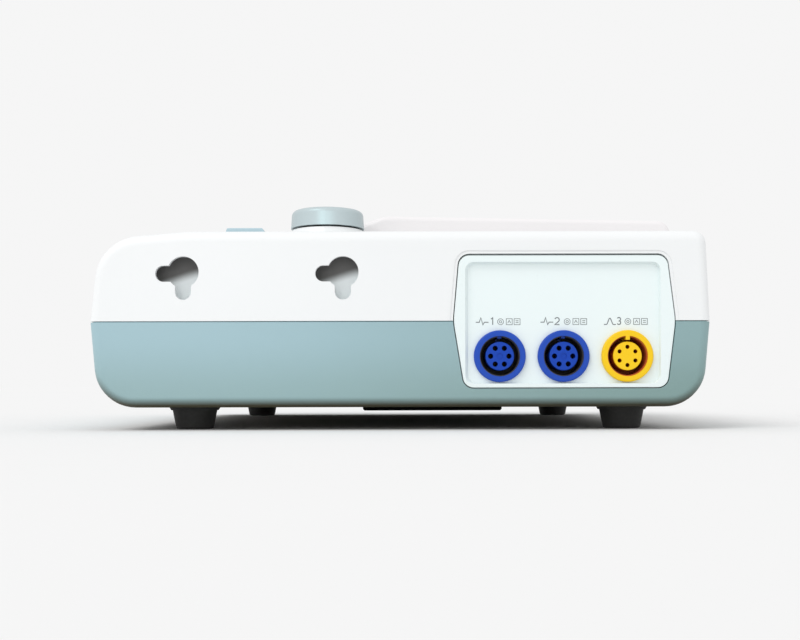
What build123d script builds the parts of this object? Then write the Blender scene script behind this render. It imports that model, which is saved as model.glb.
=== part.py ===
from build123d import *
from math import acos, atan2, cos, pi, radians, sin, sqrt, tan
import os

os.makedirs("parts", exist_ok=True)

# A desktop fetal monitor with a fold-down display and a strip-chart recorder.
# Millimetres. +X is the side with the sensor sockets, -Y the front, +Z up.
# The origin is on the table, under the middle of the case.

# Case shells
case_width = 296.0
case_length = 293.0
case_height = 94.0
foot_height = 10.8
parting_height = 51.4
wall = 2.5
side_radius = 5.0
front_setback = 4.1
nose_drop = 3.6
nose_length = 42.4
rear_setback = 2.1
lower_setback = 3.5
nose_radius = 22.0
nose_blend_radius = 150.0
rear_top_radius = 6.0
lower_radius = 19.5
seam_gap = 0.5
seam_depth = 1.2

# Clearances
fit_gap = 0.3
seat_gap = 0.05
running_gap = 0.05
end_gap = 1.0

# Fasteners
screw_radius = 2.0
screw_head_radius = 3.6
screw_head_height = 2.4
boss_radius = 4.5
boss_step = 1.0
nut_sides = 6
boss_inset_side = 13.0
boss_inset_end = 22.5
case_screw_length = 38.0
case_screw_seat = 30.0
left_boss_inset_side = 9.5
left_boss_from_front = 116.5

# Feet
foot_top_radius = 11.5
foot_bottom_radius = 9.0
foot_collar_height = 1.6
foot_collar_step = 0.7
foot_collar_flare = 1.0
foot_inset_side = 25.0
foot_inset_front = 45.3
foot_inset_rear = 37.8
foot_screw_recess = 5.0
foot_boss_height = 13.0

# Hanging holes in the right side
keyhole_from_front = 44.6
keyhole_pitch = 75.0
keyhole_height = 74.4
keyhole_radius = 7.4
keyhole_lobe_radius = 3.8
keyhole_lobe_offset = 9.2
keyhole_lobe_drop = 0.7
keyhole_depth = 9.0
keyhole_head_gap = 0.4
keyhole_wall = 1.5

# Socket panel in the right side
panel_reach_top = 118.6
panel_reach_middle = 121.4
panel_reach_base = 116.3
panel_width_top = 97.3
panel_width_middle = 104.1
panel_width_base = 95.2
panel_top = 82.0
panel_middle = 51.0
panel_base = 20.0
panel_corner_radius = 5.0
panel_middle_radius = 25.0
panel_thickness = 4.4
panel_sink = 0.4
panel_slit = 0.5
panel_top_gap = 0.4
panel_flange = 3.0
panel_flange_thickness = 2.0
panel_step_width = 1.5
panel_step_depth = 0.4
dish_depth = 2.2
dish_run_front = 1.4
dish_run_top = 0.7
dish_run_rest = 0.3
dish_inset_front = 2.6
dish_inset_rear = 2.8
dish_inset_top = 3.0
dish_inset_base = 1.8
dish_corner_radius = 4.0

# Sensor sockets
socket_count = 3
socket_pitch = 30.05
socket_from_panel = 18.9
socket_height = 34.7
socket_flange_radius = 12.2
socket_flange_height = 2.3
socket_bore_radius = 9.5
socket_barrel_radius = 10.9
socket_barrel_length = 15.0
socket_floor = 2.0
socket_core_radius = 6.75
socket_core_recess = 0.8
socket_liner = 0.4
socket_key_width = 1.9
socket_key_height_blue = 1.1
socket_key_height_yellow = 1.9
socket_key_recess = 3.0
pin_circle_radius = 4.3
pin_count = 6
pin_hole_radius_blue = 1.25
pin_hole_radius_yellow = 1.0
contact_recess = 8.0
core_dimple_radius = 1.5
core_dimple_depth = 0.3
contact_tail = 3.0
socket_nut_radius = 13.0
socket_nut_thickness = 3.0

# Knob and encoder
knob_from_side = 34.0
knob_from_front = 110.1
knob_radius = 18.25
knob_height = 10.0
knob_crown = 1.0
knob_round = 2.8
knob_wall = 2.4
knob_draft = 0.4
knob_flat_share = 0.5
knob_travel = 0.6
knob_lift = 0.9
cone_base_radius = 19.5
cone_top_radius = 17.6
cone_height = 4.3
encoder_shaft_radius = 3.0
encoder_bush_radius = 4.5
encoder_body_size = 12.5
encoder_body_height = 5.5
encoder_shaft_socket = 5.0

# Keys and their board
key_count = 4
key_from_side = 22.0
key_pitch = 23.0
key_from_front = 71.9
key_width = 16.0
key_length = 19.6
key_rise = 3.2
key_slope = 1.8
key_lip = 0.9
key_flange = 1.0
key_flange_thickness = 1.0
key_travel = 1.0
key_stem_radius = 2.5
key_round = 0.8
board_thickness = 1.6
key_board_drop = 7.5
key_board_margin = 10.0
key_board_end_margin = 5.0
key_board_rear_margin = 3.0
key_board_well_gap = 1.5
board_boss_radius = 3.0
switch_size = 6.0
switch_height = 3.6
switch_plunger = 1.0
lens_count = 4
lens_pitch = 8.0
lens_length = 5.0
lens_width = 3.0
lens_from_key = 23.0
lens_from_last_key = 5.0
lens_proud = 0.3

# Display
display_inset_left = 40.0
display_inset_right = 56.0
display_inset_rear = 5.6
display_base_gap = 0.3
display_hinge_radius = 4.9
display_hinge_from_front = 124.5
display_crest_from_hinge = 13.4
display_crest_height = 10.5
display_rear_height = 7.8
display_crest_radius = 18.0
display_rear_radius = 7.0
display_edge_radius = 2.5
display_wall = 2.4
display_bezel_depth = 5.0
display_lug_width = 12.0
display_lug_inset = 36.0
display_pin_radius = 2.0
display_pin_reach = 9.0
glass_border_side = 7.0
glass_border_front = 12.0
glass_border_rear = 12.0
glass_thickness = 1.2
glass_sink = 0.1
glass_ledge = 5.0
lcd_thickness = 6.0
driver_board_width = 120.0
driver_board_length = 60.0
scoop_width = 50.0
scoop_length = 12.0
scoop_height = 5.6

# Recorder
paper_width = 152.0
paper_length = 90.0
paper_stack = 20.0
paper_play = 1.0
tray_wall = 1.6
tray_floor_height = 36.4
tray_depth = 29.6
tray_from_hinge = 3.2
tray_post_radius = 4.0
tray_post_inset = 16.0
door_inset_left = 12.0
door_margin_left = 10.0
door_margin_right = 12.0
door_hinge_height = 62.0
door_barrel_radius = 4.0
door_barrel_sink = 0.2
door_pin_radius = 1.5
door_pin_reach = 6.0
door_stop_gap = 0.5
slot_width = 2.0
slot_from_tray = 2.5
platen_from_slot = 5.0
platen_height = 84.5
platen_radius = 6.0
platen_shaft_radius = 2.5
cheek_thickness = 2.5
cheek_length = 10.0
cheek_gap = 1.0
shaft_end = 0.5
head_thickness = 3.0
head_height = 13.0
head_sink_thickness = 6.0
fin_count = 5
fin_gap = 1.4
tear_bar_width = 4.0
tear_bar_thickness = 0.8
tear_tooth_pitch = 2.0
tear_tooth_depth = 0.7
plate_thickness = 1.2
plate_length = 34.0
plate_head_room = 1.5
plate_from_tray = 3.4
gear_from_tray = 1.4

# Recorder gears
gear_module = 0.8
platen_teeth = 14
idler_teeth = 28
pinion_teeth = 12
gear_width = 4.0
gear_addendum = 0.75
gear_dedendum = 1.0
gear_backlash = 0.12
pressure_angle = radians(25.0)
pinion_direction = radians(-45.0)
idler_pin_radius = 2.0
motor_shaft_radius = 1.5
motor_size = 28.0
motor_length = 30.0
motor_pilot_radius = 3.2

# Release button
button_width = 12.0
button_length = 14.0
button_rise = 2.5
button_gap_from_door = 4.0
button_lip = 1.0
button_arm_width = 8.0
button_arm_thickness = 2.4

# Loudspeaker
speaker_width = 28.0
speaker_length = 60.0
speaker_depth = 9.0
speaker_frame = 2.0
speaker_taper = 12.0
speaker_magnet_depth = 3.0
speaker_from_side = 23.0
speaker_from_rear = 80.0
grille_slot_width = 2.0
grille_slot_length = 20.0
grille_slot_pitch = 4.4
grille_slot_count = 12

# Rear connectors
bay_left = 30.0
bay_right = 60.0
bay_base = 21.0
bay_height = 25.0
bay_wall = 2.0
bay_depth = 10.5
rear_plate_thickness = 2.0
rear_plate_lap = 1.5
inlet_from_left = 26.0
inlet_width = 27.0
inlet_height = 20.0
inlet_flange_width = 31.0
inlet_flange_height = 23.0
inlet_flange_thickness = 2.0
inlet_depth = 24.0
inlet_round = 0.8
inlet_cavity_width = 24.0
inlet_cavity_height = 16.0
inlet_cavity_depth = 16.0
blade_width = 4.0
blade_thickness = 2.0
blade_pitch = 7.0
blade_recess = 5.0
blade_row_gap = 4.0
switch_from_inlet = 30.0
rocker_width = 13.0
rocker_height = 19.0
rocker_frame = 2.0
rocker_depth = 15.0
rocker_lip = 1.0
rocker_proud = 1.0
rocker_root = 3.0
rocker_pin_radius = 1.0
rocker_face_share = 0.9
rocker_edge_share = 0.92
rocker_dish_share = 0.4
rocker_axis_depth = 3.0
rocker_swing = 16.0
rocker_swing_gap = 1.2
post_from_inlet = 52.0
post_radius = 3.0
post_reach = 7.0
post_nut_radius = 5.0
post_nut_thickness = 2.5
serial_from_inlet = 98.0
serial_width = 17.0
serial_height = 8.4
serial_reach = 5.0
serial_flange_width = 31.0
serial_flange_height = 12.5
serial_flange_thickness = 1.0
serial_flange_round = 2.0
serial_shell_angle = 80.0
serial_shell_round = 1.5
serial_body_inset = 1.0
serial_body_depth = 8.0
network_from_inlet = 140.0
network_width = 16.0
network_height = 14.0
network_mouth_width = 11.8
network_mouth_height = 8.0
network_depth = 21.0
network_mouth_depth = 12.0
port_proud = 0.8

# Battery and its cover
battery_cover_from_side = 58.0
battery_cover_width = 84.0
battery_cover_length = 73.0
battery_cover_from_front = 126.5
battery_cover_thickness = 2.8
battery_cover_margin = 5.0
battery_bay_wall = 2.0
battery_height = 20.0
battery_play = 0.5
battery_round = 3.0
cover_screw_inset = 4.0
cover_screw_radius = 1.5
cover_screw_head_radius = 2.8

# Boards
main_board_height = 40.0
main_board_from_front = 126.0
main_board_from_left = 40.0
main_board_width = 196.0
main_board_gap = 13.0
power_board_height = 26.0
power_board_width = 130.0
power_board_length = 26.0
power_board_from_rear = 66.0
standoff_radius = 3.5
standoff_inset = 6.0

# Parts on the main board: share of its width and length, then width, length and height
main_board_parts = [
    (0.30, 0.50, 27.0, 27.0, 2.5),
    (0.55, 0.70, 20.0, 14.0, 2.0),
    (0.55, 0.35, 20.0, 14.0, 2.0),
    (0.10, 0.50, 6.0, 50.0, 9.0),
    (0.85, 0.50, 24.0, 40.0, 6.0),
]

# Capacitors on the power board: share of its width, radius and height
power_board_cans = [
    (0.15, 8.0, 30.0),
    (0.32, 5.0, 18.0),
    (0.90, 5.0, 18.0),
]
transformer_share = 0.62
transformer_width = 30.0
transformer_length = 20.0
transformer_height = 22.0

# Left side vents
vent_count = 12
vent_pitch = 6.0
vent_width = 2.0
vent_height = 20.0
vent_base = 24.0
vent_from_front = 130.0

# Places worked out from the sizes above
half_width = case_width / 2
front = -case_length / 2
rear = case_length / 2
roof = case_height - wall
floor_top = foot_height + wall
side_inner = half_width - wall
board_seat = roof - key_board_drop

case_corners = [
    (front, parting_height),
    (front + front_setback, case_height - nose_drop),
    (front + front_setback + nose_length, case_height),
    (rear - rear_setback, case_height),
    (rear, parting_height),
    (rear - lower_setback, foot_height),
    (front + lower_setback, foot_height),
]
case_rounds = [
    (case_corners[1], nose_radius),
    (case_corners[2], nose_blend_radius),
    (case_corners[3], rear_top_radius),
    (case_corners[5], lower_radius),
    (case_corners[6], lower_radius),
]


def case_half(upper, inset=0.0):
    """Solid of the upper or lower half of the case, drawn in by inset on every outer side."""
    side = 1 if upper else -1
    with BuildPart() as half:
        with BuildSketch(Plane.YZ) as section:
            with BuildLine():
                Polyline(*case_corners, close=True)
            make_face()
            for point, radius in case_rounds:
                fillet(section.vertices().sort_by_distance(point)[0], radius=radius)
            if inset:
                offset(amount=-inset, kind=Kind.INTERSECTION, mode=Mode.REPLACE)
            with Locations((0, parting_height + side * case_height)):
                Rectangle(2 * case_length, 2 * case_height, mode=Mode.INTERSECT)
        extrude(amount=half_width - inset, both=True)
        rim = half.faces().filter_by(Axis.X).edges()
        rim = rim.filter_by(lambda edge: abs((edge @ 0.5).Z - parting_height) > seam_gap)
        fillet(rim, radius=side_radius - inset)
    return half.part


def block(x_range, y_range, z_range, mode=Mode.ADD):
    """Box between two places along each axis."""
    size = [high - low for low, high in (x_range, y_range, z_range)]
    middle = tuple((low + high) / 2 for low, high in (x_range, y_range, z_range))
    with Locations(middle):
        Box(*size, mode=mode)


def rod_x(x_range, y, z, radius, mode=Mode.ADD):
    """Cylinder along X."""
    with Locations(((x_range[0] + x_range[1]) / 2, y, z)):
        Cylinder(radius, x_range[1] - x_range[0], rotation=(0, 90, 0), mode=mode)


def rod_y(x, y_range, z, radius, mode=Mode.ADD):
    """Cylinder along Y."""
    with Locations((x, (y_range[0] + y_range[1]) / 2, z)):
        Cylinder(radius, y_range[1] - y_range[0], rotation=(90, 0, 0), mode=mode)


def rod_z(x, y, z_range, radius, mode=Mode.ADD):
    """Cylinder along Z."""
    with Locations((x, y, (z_range[0] + z_range[1]) / 2)):
        Cylinder(radius, z_range[1] - z_range[0], mode=mode)


def front_face_at(height):
    """Y of the front face of the upper shell at a height below its rounding."""
    rise = case_height - nose_drop - parting_height
    return front + front_setback * (height - parting_height) / rise


# Places of the case screws: three corners, and one beside the recorder
case_screw_places = [
    (half_width - boss_inset_side, rear - boss_inset_end),
    (-half_width + boss_inset_side, rear - boss_inset_end),
    (half_width - boss_inset_side, front + boss_inset_end),
    (-half_width + left_boss_inset_side, front + left_boss_from_front),
]

# Places of the feet
foot_side = half_width - foot_inset_side
foot_front = front + foot_inset_front
foot_rear = rear - foot_inset_rear
foot_places = [(x, y) for x in (-foot_side, foot_side) for y in (foot_front, foot_rear)]

# Places of the knob, the keys and their board
knob_x = half_width - knob_from_side
knob_y = front + knob_from_front
cone_top = case_height + cone_height
knob_base = cone_top + knob_lift
knob_top = knob_base + knob_height
key_y = front + key_from_front
key_places = [half_width - key_from_side - index * key_pitch for index in range(key_count)]
key_top = case_height + key_rise
board_top = board_seat - fit_gap
board_x = (key_places[-1] - key_width / 2 - key_board_end_margin,
           half_width - keyhole_depth - keyhole_wall - key_board_well_gap)
board_y = (key_y - key_length / 2 - key_board_margin, knob_y + cone_base_radius + key_board_rear_margin)
board_boss_places = [(x, y)
                     for x in (board_x[0] + board_boss_radius, board_x[1] - board_boss_radius)
                     for y in (board_y[0] + board_boss_radius, board_y[1] - board_boss_radius)]
lens_y = key_y + lens_from_key
lens_places = [key_places[-1] + lens_from_last_key + index * lens_pitch for index in range(lens_count)]

# Places in the display
display_x = (-half_width + display_inset_left, half_width - display_inset_right)
display_rear = rear - display_inset_rear
display_base = case_height + display_base_gap
hinge_y = front + display_hinge_from_front
hinge_z = display_base + display_hinge_radius
crest_y = hinge_y + display_crest_from_hinge
crest_z = hinge_z + display_crest_height
display_rear_z = hinge_z + display_rear_height
lug_places = [display_x[0] + display_lug_inset, display_x[1] - display_lug_inset]

# Places in the recorder
door_x = (-half_width + door_inset_left, -half_width + door_inset_left + paper_width
          + door_margin_left + door_margin_right)
paper_x = (door_x[0] + door_margin_left, door_x[0] + door_margin_left + paper_width)
door_hinge_y = front_face_at(door_hinge_height) + door_barrel_radius + door_barrel_sink
tray_y = (door_hinge_y + tray_from_hinge,
          door_hinge_y + tray_from_hinge + paper_length + 3 * paper_play)
tray_x = (paper_x[0] - paper_play, paper_x[1] + paper_play)
tray_floor_top = tray_floor_height + tray_wall
slot_front = tray_y[1] - slot_from_tray
slot_rear = slot_front + slot_width
platen_y = slot_front - platen_from_slot
gear_x = (tray_x[1] + tray_wall + gear_from_tray,
          tray_x[1] + tray_wall + gear_from_tray + gear_width)
plate_right = gear_x[1] + end_gap
plate_left = tray_x[0] - tray_wall - plate_from_tray
platen_pitch_radius = gear_module * platen_teeth / 2
idler_pitch_radius = gear_module * idler_teeth / 2
pinion_pitch_radius = gear_module * pinion_teeth / 2
idler_z = platen_height - platen_pitch_radius - idler_pitch_radius
pinion_reach = idler_pitch_radius + pinion_pitch_radius
pinion_y = platen_y + pinion_reach * cos(pinion_direction)
pinion_z = idler_z + pinion_reach * sin(pinion_direction)

# Places of the sockets
panel_face = half_width - panel_sink
dish_floor = panel_face - dish_depth
socket_places = [rear - panel_reach_top + socket_from_panel + index * socket_pitch
                 for index in range(socket_count)]
socket_back = dish_floor - socket_barrel_length
core_face = dish_floor + socket_flange_height - socket_core_recess

# Places at the rear
bay_x = (-half_width + bay_left, half_width - bay_right)
bay_z = (bay_base, bay_base + bay_height)
bay_floor = rear - bay_depth
connector_z = (bay_z[0] + bay_z[1]) / 2
inlet_x = bay_x[0] + inlet_from_left
rocker_x = inlet_x + switch_from_inlet
post_x = inlet_x + post_from_inlet
serial_x = inlet_x + serial_from_inlet
network_x = inlet_x + network_from_inlet

# Places of the battery
cover_x = (half_width - battery_cover_from_side - battery_cover_width,
           half_width - battery_cover_from_side)
cover_y = (front + battery_cover_from_front,
           front + battery_cover_from_front + battery_cover_length)
battery_bay_x = (cover_x[0] + 2 * battery_cover_margin, cover_x[1] - 2 * battery_cover_margin)
battery_bay_y = (cover_y[0] + battery_cover_margin, cover_y[1] - battery_cover_margin)
battery_bay_top = foot_height + battery_height + 2 * battery_play

# Places of the boards
main_board_x = (-half_width + main_board_from_left,
                -half_width + main_board_from_left + main_board_width)
power_board_x = (bay_x[0], bay_x[0] + power_board_width)
power_board_y = (rear - power_board_from_rear, rear - power_board_from_rear + power_board_length)
main_board_y = (front + main_board_from_front, power_board_y[0] - main_board_gap)


def standoff_places(x_range, y_range):
    """Four places set in from the corners of a board."""
    return [(x, y)
            for x in (x_range[0] + standoff_inset, x_range[1] - standoff_inset)
            for y in (y_range[0] + standoff_inset, y_range[1] - standoff_inset)]


def panel_outline(x, grow=0.0, lift=0.0):
    """Six-sided outline of the socket panel at x, grown by a margin, its top edge lifted."""
    top_front = rear - panel_reach_top
    middle_front = rear - panel_reach_middle
    base_front = rear - panel_reach_base
    corners = [
        (top_front, panel_top + lift),
        (top_front + panel_width_top, panel_top + lift),
        (base_front + panel_width_base, panel_base),
        (base_front, panel_base),
    ]
    bends = [
        (middle_front, panel_middle),
        (middle_front + panel_width_middle, panel_middle),
    ]
    with BuildSketch(Plane.YZ.offset(x)) as outline:
        with BuildLine():
            Polyline(corners[0], corners[1], bends[1], corners[2], corners[3], bends[0], close=True)
        make_face()
        for point in corners:
            fillet(outline.vertices().sort_by_distance(point)[0], radius=panel_corner_radius)
        for point in bends:
            fillet(outline.vertices().sort_by_distance(point)[0], radius=panel_middle_radius)
        if grow:
            offset(amount=grow, kind=Kind.ARC, mode=Mode.REPLACE)
    return outline.sketch


def keyhole_mouth(x, y):
    """The round entry, and a straight slot from it to each of its two lobes."""
    reach = keyhole_lobe_offset
    with BuildSketch(Plane.YZ.offset(x)) as mouth:
        with Locations((y, keyhole_height)):
            Circle(keyhole_radius)
        with Locations((y - reach / 2, keyhole_height - keyhole_lobe_drop)):
            SlotCenterToCenter(reach, 2 * keyhole_lobe_radius)
        with Locations((y, keyhole_height - reach / 2)):
            SlotCenterToCenter(reach, 2 * keyhole_lobe_radius, rotation=90)
    return mouth.sketch


def keyhole_well(x, y, grow=0.0):
    """Room behind a hanging hole for the head of the stud, in the entry and in both lobes."""
    reach = keyhole_lobe_offset
    radius = keyhole_radius + keyhole_head_gap + grow
    with BuildSketch(Plane.YZ.offset(x)) as well:
        with Locations((y - reach / 2, keyhole_height)):
            SlotCenterToCenter(reach, 2 * radius)
        with Locations((y, keyhole_height - reach / 2)):
            SlotCenterToCenter(reach, 2 * radius, rotation=90)
    return well.sketch


keyhole_places = [front + keyhole_from_front, front + keyhole_from_front + keyhole_pitch]
top_outer = case_half(True)
top_inner = case_half(True, wall)
bottom_outer = case_half(False)
bottom_inner = case_half(False, wall)

# Upper shell
with BuildPart() as top_shell:
    add(top_outer)
    add(top_inner, mode=Mode.SUBTRACT)
    for x, y in case_screw_places:
        rod_z(x, y, (parting_height, case_height), boss_radius)
    for x, y in board_boss_places:
        rod_z(x, y, (board_seat, case_height), board_boss_radius)
    for x_range in ((door_x[0] - fit_gap - door_pin_reach, door_x[0] - fit_gap),
                    (door_x[1] + fit_gap, door_x[1] + fit_gap + door_pin_reach)):
        rod_x(x_range, door_hinge_y, door_hinge_height, door_barrel_radius)
        block(x_range, (front, door_hinge_y),
              (door_hinge_height - door_barrel_radius, door_hinge_height + door_barrel_radius))
    for y in keyhole_places:
        extrude(keyhole_well(side_inner, y, keyhole_wall),
                amount=-(keyhole_depth + keyhole_wall - wall))
    add(top_outer, mode=Mode.INTERSECT)
    # Hanging holes
    for y in keyhole_places:
        extrude(keyhole_mouth(half_width, y), amount=-wall - seat_gap, mode=Mode.SUBTRACT)
        extrude(keyhole_well(side_inner, y), amount=wall - keyhole_depth, mode=Mode.SUBTRACT)
    # Opening for the socket panel, with a shallow step round its outside
    extrude(panel_outline(half_width, panel_slit, panel_top_gap), amount=-2 * wall,
            mode=Mode.SUBTRACT)
    extrude(panel_outline(half_width, panel_slit + panel_step_width, panel_top_gap),
            amount=-panel_step_depth, mode=Mode.SUBTRACT)
    # Cone under the knob
    with Locations((knob_x, knob_y, case_height)):
        Cone(cone_base_radius, cone_top_radius, cone_height,
             align=(Align.CENTER, Align.CENTER, Align.MIN))
    with Locations((knob_x, knob_y, roof)):
        Cone(cone_base_radius - wall, cone_top_radius - wall, cone_height,
             align=(Align.CENTER, Align.CENTER, Align.MIN), mode=Mode.SUBTRACT)
    rod_z(knob_x, knob_y, (roof, cone_top), encoder_bush_radius + fit_gap, Mode.SUBTRACT)
    # Openings for the keys, the lenses, the release button and the recorder
    key_opening = (key_width / 2 + fit_gap, key_length / 2 + fit_gap)
    for x in key_places:
        block((x - key_opening[0], x + key_opening[0]),
              (key_y - key_opening[1], key_y + key_opening[1]),
              (roof, case_height), Mode.SUBTRACT)
    for x in lens_places:
        block((x - lens_length / 2 - seat_gap, x + lens_length / 2 + seat_gap),
              (lens_y - lens_width / 2 - seat_gap, lens_y + lens_width / 2 + seat_gap),
              (roof, case_height), Mode.SUBTRACT)
    button_x = (door_x[1] + button_gap_from_door, door_x[1] + button_gap_from_door + button_width)
    button_y = (slot_front - button_length, slot_front)
    block((button_x[0] - fit_gap, button_x[1] + fit_gap),
          (button_y[0] - fit_gap, button_y[1] + fit_gap), (roof, case_height), Mode.SUBTRACT)
    block((door_x[0] - fit_gap, door_x[1] + fit_gap), (front, slot_rear),
          (door_hinge_height - door_barrel_radius - door_stop_gap, case_height), Mode.SUBTRACT)
    # Loudspeaker grille
    speaker_x = -half_width + speaker_from_side
    speaker_y = rear - speaker_from_rear
    for index in range(grille_slot_count):
        y = speaker_y + (index - (grille_slot_count - 1) / 2) * grille_slot_pitch
        with BuildSketch(Plane.XY.offset(roof)) as slot:
            with Locations((speaker_x, y)):
                SlotOverall(grille_slot_length, grille_slot_width)
        extrude(amount=wall, mode=Mode.SUBTRACT)
    # Two lugs that carry the display
    lug_radius = display_hinge_radius - 2 * display_base_gap
    for x in lug_places:
        lug_x = (x - display_lug_width / 2, x + display_lug_width / 2)
        rod_x(lug_x, hinge_y, hinge_z, lug_radius)
        block(lug_x, (hinge_y - lug_radius, hinge_y), (case_height - wall / 2, hinge_z))
        rod_x(lug_x, hinge_y, hinge_z, display_pin_radius + seat_gap, Mode.SUBTRACT)
    # Screw holes and door pin holes
    for x, y in case_screw_places:
        rod_z(x, y, (parting_height, case_screw_seat + case_screw_length + end_gap),
              screw_radius + seat_gap, Mode.SUBTRACT)
    rod_x((door_x[0] - fit_gap - door_pin_reach + end_gap,
           door_x[1] + fit_gap + door_pin_reach - end_gap),
          door_hinge_y, door_hinge_height, door_pin_radius + seat_gap, Mode.SUBTRACT)
top_shell.part.label = "top_shell"
export_step(top_shell.part, "parts/top_shell.step")

# Lower shell
with BuildPart() as bottom_shell:
    add(bottom_outer)
    add(bottom_inner, mode=Mode.SUBTRACT)
    for x, y in case_screw_places:
        rod_z(x, y, (foot_height, parting_height), boss_radius + boss_step)
    for x, y in foot_places:
        rod_z(x, y, (foot_height, foot_height + foot_boss_height), boss_radius)
    for x in (tray_x[0] + tray_post_inset, tray_x[1] - tray_post_inset):
        for y in (tray_y[0] + tray_post_inset, tray_y[1] - tray_post_inset):
            rod_z(x, y, (foot_height, tray_floor_height), tray_post_radius)
    for x, y in standoff_places(main_board_x, main_board_y):
        rod_z(x, y, (foot_height, main_board_height), standoff_radius)
    for x, y in standoff_places(power_board_x, power_board_y):
        rod_z(x, y, (foot_height, power_board_height), standoff_radius)
    # Frame of the connector bay
    block((bay_x[0] - bay_wall, bay_x[1] + bay_wall), (bay_floor, rear),
          (bay_z[0] - bay_wall, bay_z[1] + bay_wall))
    # Battery bay, open below
    block((battery_bay_x[0] - battery_bay_wall, battery_bay_x[1] + battery_bay_wall),
          (battery_bay_y[0] - battery_bay_wall, battery_bay_y[1] + battery_bay_wall),
          (foot_height, battery_bay_top + battery_bay_wall))
    add(bottom_outer, mode=Mode.INTERSECT)
    block(battery_bay_x, battery_bay_y, (foot_height, battery_bay_top), Mode.SUBTRACT)
    block(bay_x, (bay_floor, rear), bay_z, Mode.SUBTRACT)
    # Opening for the socket panel
    extrude(panel_outline(half_width, panel_slit, panel_top_gap), amount=-2 * wall,
            mode=Mode.SUBTRACT)
    # Shadow groove along the parting line
    with BuildSketch(Plane.XY.offset(parting_height)) as seam:
        Rectangle(case_width + wall, case_length + wall)
        RectangleRounded(case_width - 2 * seam_depth, case_length - 2 * seam_depth,
                         side_radius - seam_depth, mode=Mode.SUBTRACT)
    extrude(amount=-seam_gap, mode=Mode.SUBTRACT)
    # Screw holes
    for x, y in case_screw_places:
        rod_z(x, y, (foot_height, parting_height), screw_radius + seat_gap, Mode.SUBTRACT)
        rod_z(x, y, (foot_height, case_screw_seat), screw_head_radius + fit_gap, Mode.SUBTRACT)
    for x, y in foot_places:
        rod_z(x, y, (foot_height, foot_height + foot_boss_height), screw_radius + seat_gap,
              Mode.SUBTRACT)
    cover_screw_places = [(x, (cover_y[0] + cover_y[1]) / 2)
                          for x in (cover_x[0] + cover_screw_inset, cover_x[1] - cover_screw_inset)]
    for x, y in cover_screw_places:
        rod_z(x, y, (foot_height, floor_top), cover_screw_radius + seat_gap, Mode.SUBTRACT)
    # Vents in the left side
    for index in range(vent_count):
        y = front + vent_from_front + index * vent_pitch
        with BuildSketch(Plane.YZ.offset(-half_width)) as vent:
            with Locations((y, vent_base + vent_height / 2)):
                SlotOverall(vent_height, vent_width, rotation=90)
        extrude(amount=wall, mode=Mode.SUBTRACT)
bottom_shell.part.label = "bottom_shell"
export_step(bottom_shell.part, "parts/bottom_shell.step")

# Socket panel, with a shallow dish in its face
with BuildPart() as socket_panel:
    extrude(panel_outline(panel_face), amount=-panel_thickness)
    extrude(panel_outline(panel_face - panel_thickness, panel_flange), amount=-panel_flange_thickness)
    dish_y = (rear - panel_reach_top + dish_inset_front,
              rear - panel_reach_top + panel_width_top - dish_inset_rear)
    dish_z = (panel_base + dish_inset_base, panel_top - dish_inset_top)
    floor_y = (dish_y[0] + dish_run_front, dish_y[1] - dish_run_rest)
    floor_z = (dish_z[0] + dish_run_rest, dish_z[1] - dish_run_top)
    for x, y_range, z_range in ((panel_face, dish_y, dish_z), (dish_floor, floor_y, floor_z)):
        with BuildSketch(Plane.YZ.offset(x)) as section:
            with Locations(((y_range[0] + y_range[1]) / 2, (z_range[0] + z_range[1]) / 2)):
                RectangleRounded(y_range[1] - y_range[0], z_range[1] - z_range[0],
                                 dish_corner_radius)
    loft(ruled=True, mode=Mode.SUBTRACT)
    for y in socket_places:
        rod_x((side_inner - 2 * wall, half_width), y, socket_height,
              socket_barrel_radius + seat_gap, Mode.SUBTRACT)
socket_panel.part.label = "socket_panel"
export_step(socket_panel.part, "parts/socket_panel.step")

# Outer rings of the sensor sockets, each a flanged cup with a key in its groove
yellow = socket_count - 1
for index, y in enumerate(socket_places):
    key_height = socket_key_height_yellow if index == yellow else socket_key_height_blue
    key_base = socket_bore_radius - key_height
    key_recess = 0.0 if index == yellow else socket_key_recess
    with BuildPart() as socket_ring:
        rod_x((dish_floor, dish_floor + socket_flange_height), y, socket_height,
              socket_flange_radius)
        flange_edges = socket_ring.edges().filter_by(GeomType.CIRCLE).sort_by(Axis.X)
        fillet(flange_edges[-1], radius=socket_flange_height / 3)
        rod_x((socket_back, dish_floor), y, socket_height, socket_barrel_radius)
        rod_x((socket_back + socket_floor, half_width), y, socket_height, socket_bore_radius,
              Mode.SUBTRACT)
        block((socket_back + socket_floor, dish_floor + socket_flange_height - key_recess),
              (y - socket_key_width / 2, y + socket_key_width / 2),
              (socket_height + key_base, socket_height + socket_bore_radius + socket_liner))
        for pin in range(pin_count):
            turn = pi * (2 * pin + (index == yellow)) / pin_count
            rod_x((socket_back, socket_back + socket_floor), y + pin_circle_radius * cos(turn),
                  socket_height + pin_circle_radius * sin(turn), pin_hole_radius_yellow,
                  Mode.SUBTRACT)
    name = f"socket_ring_{index + 1}"
    socket_ring.part.label = name
    export_step(socket_ring.part, f"parts/{name}.step")

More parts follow.
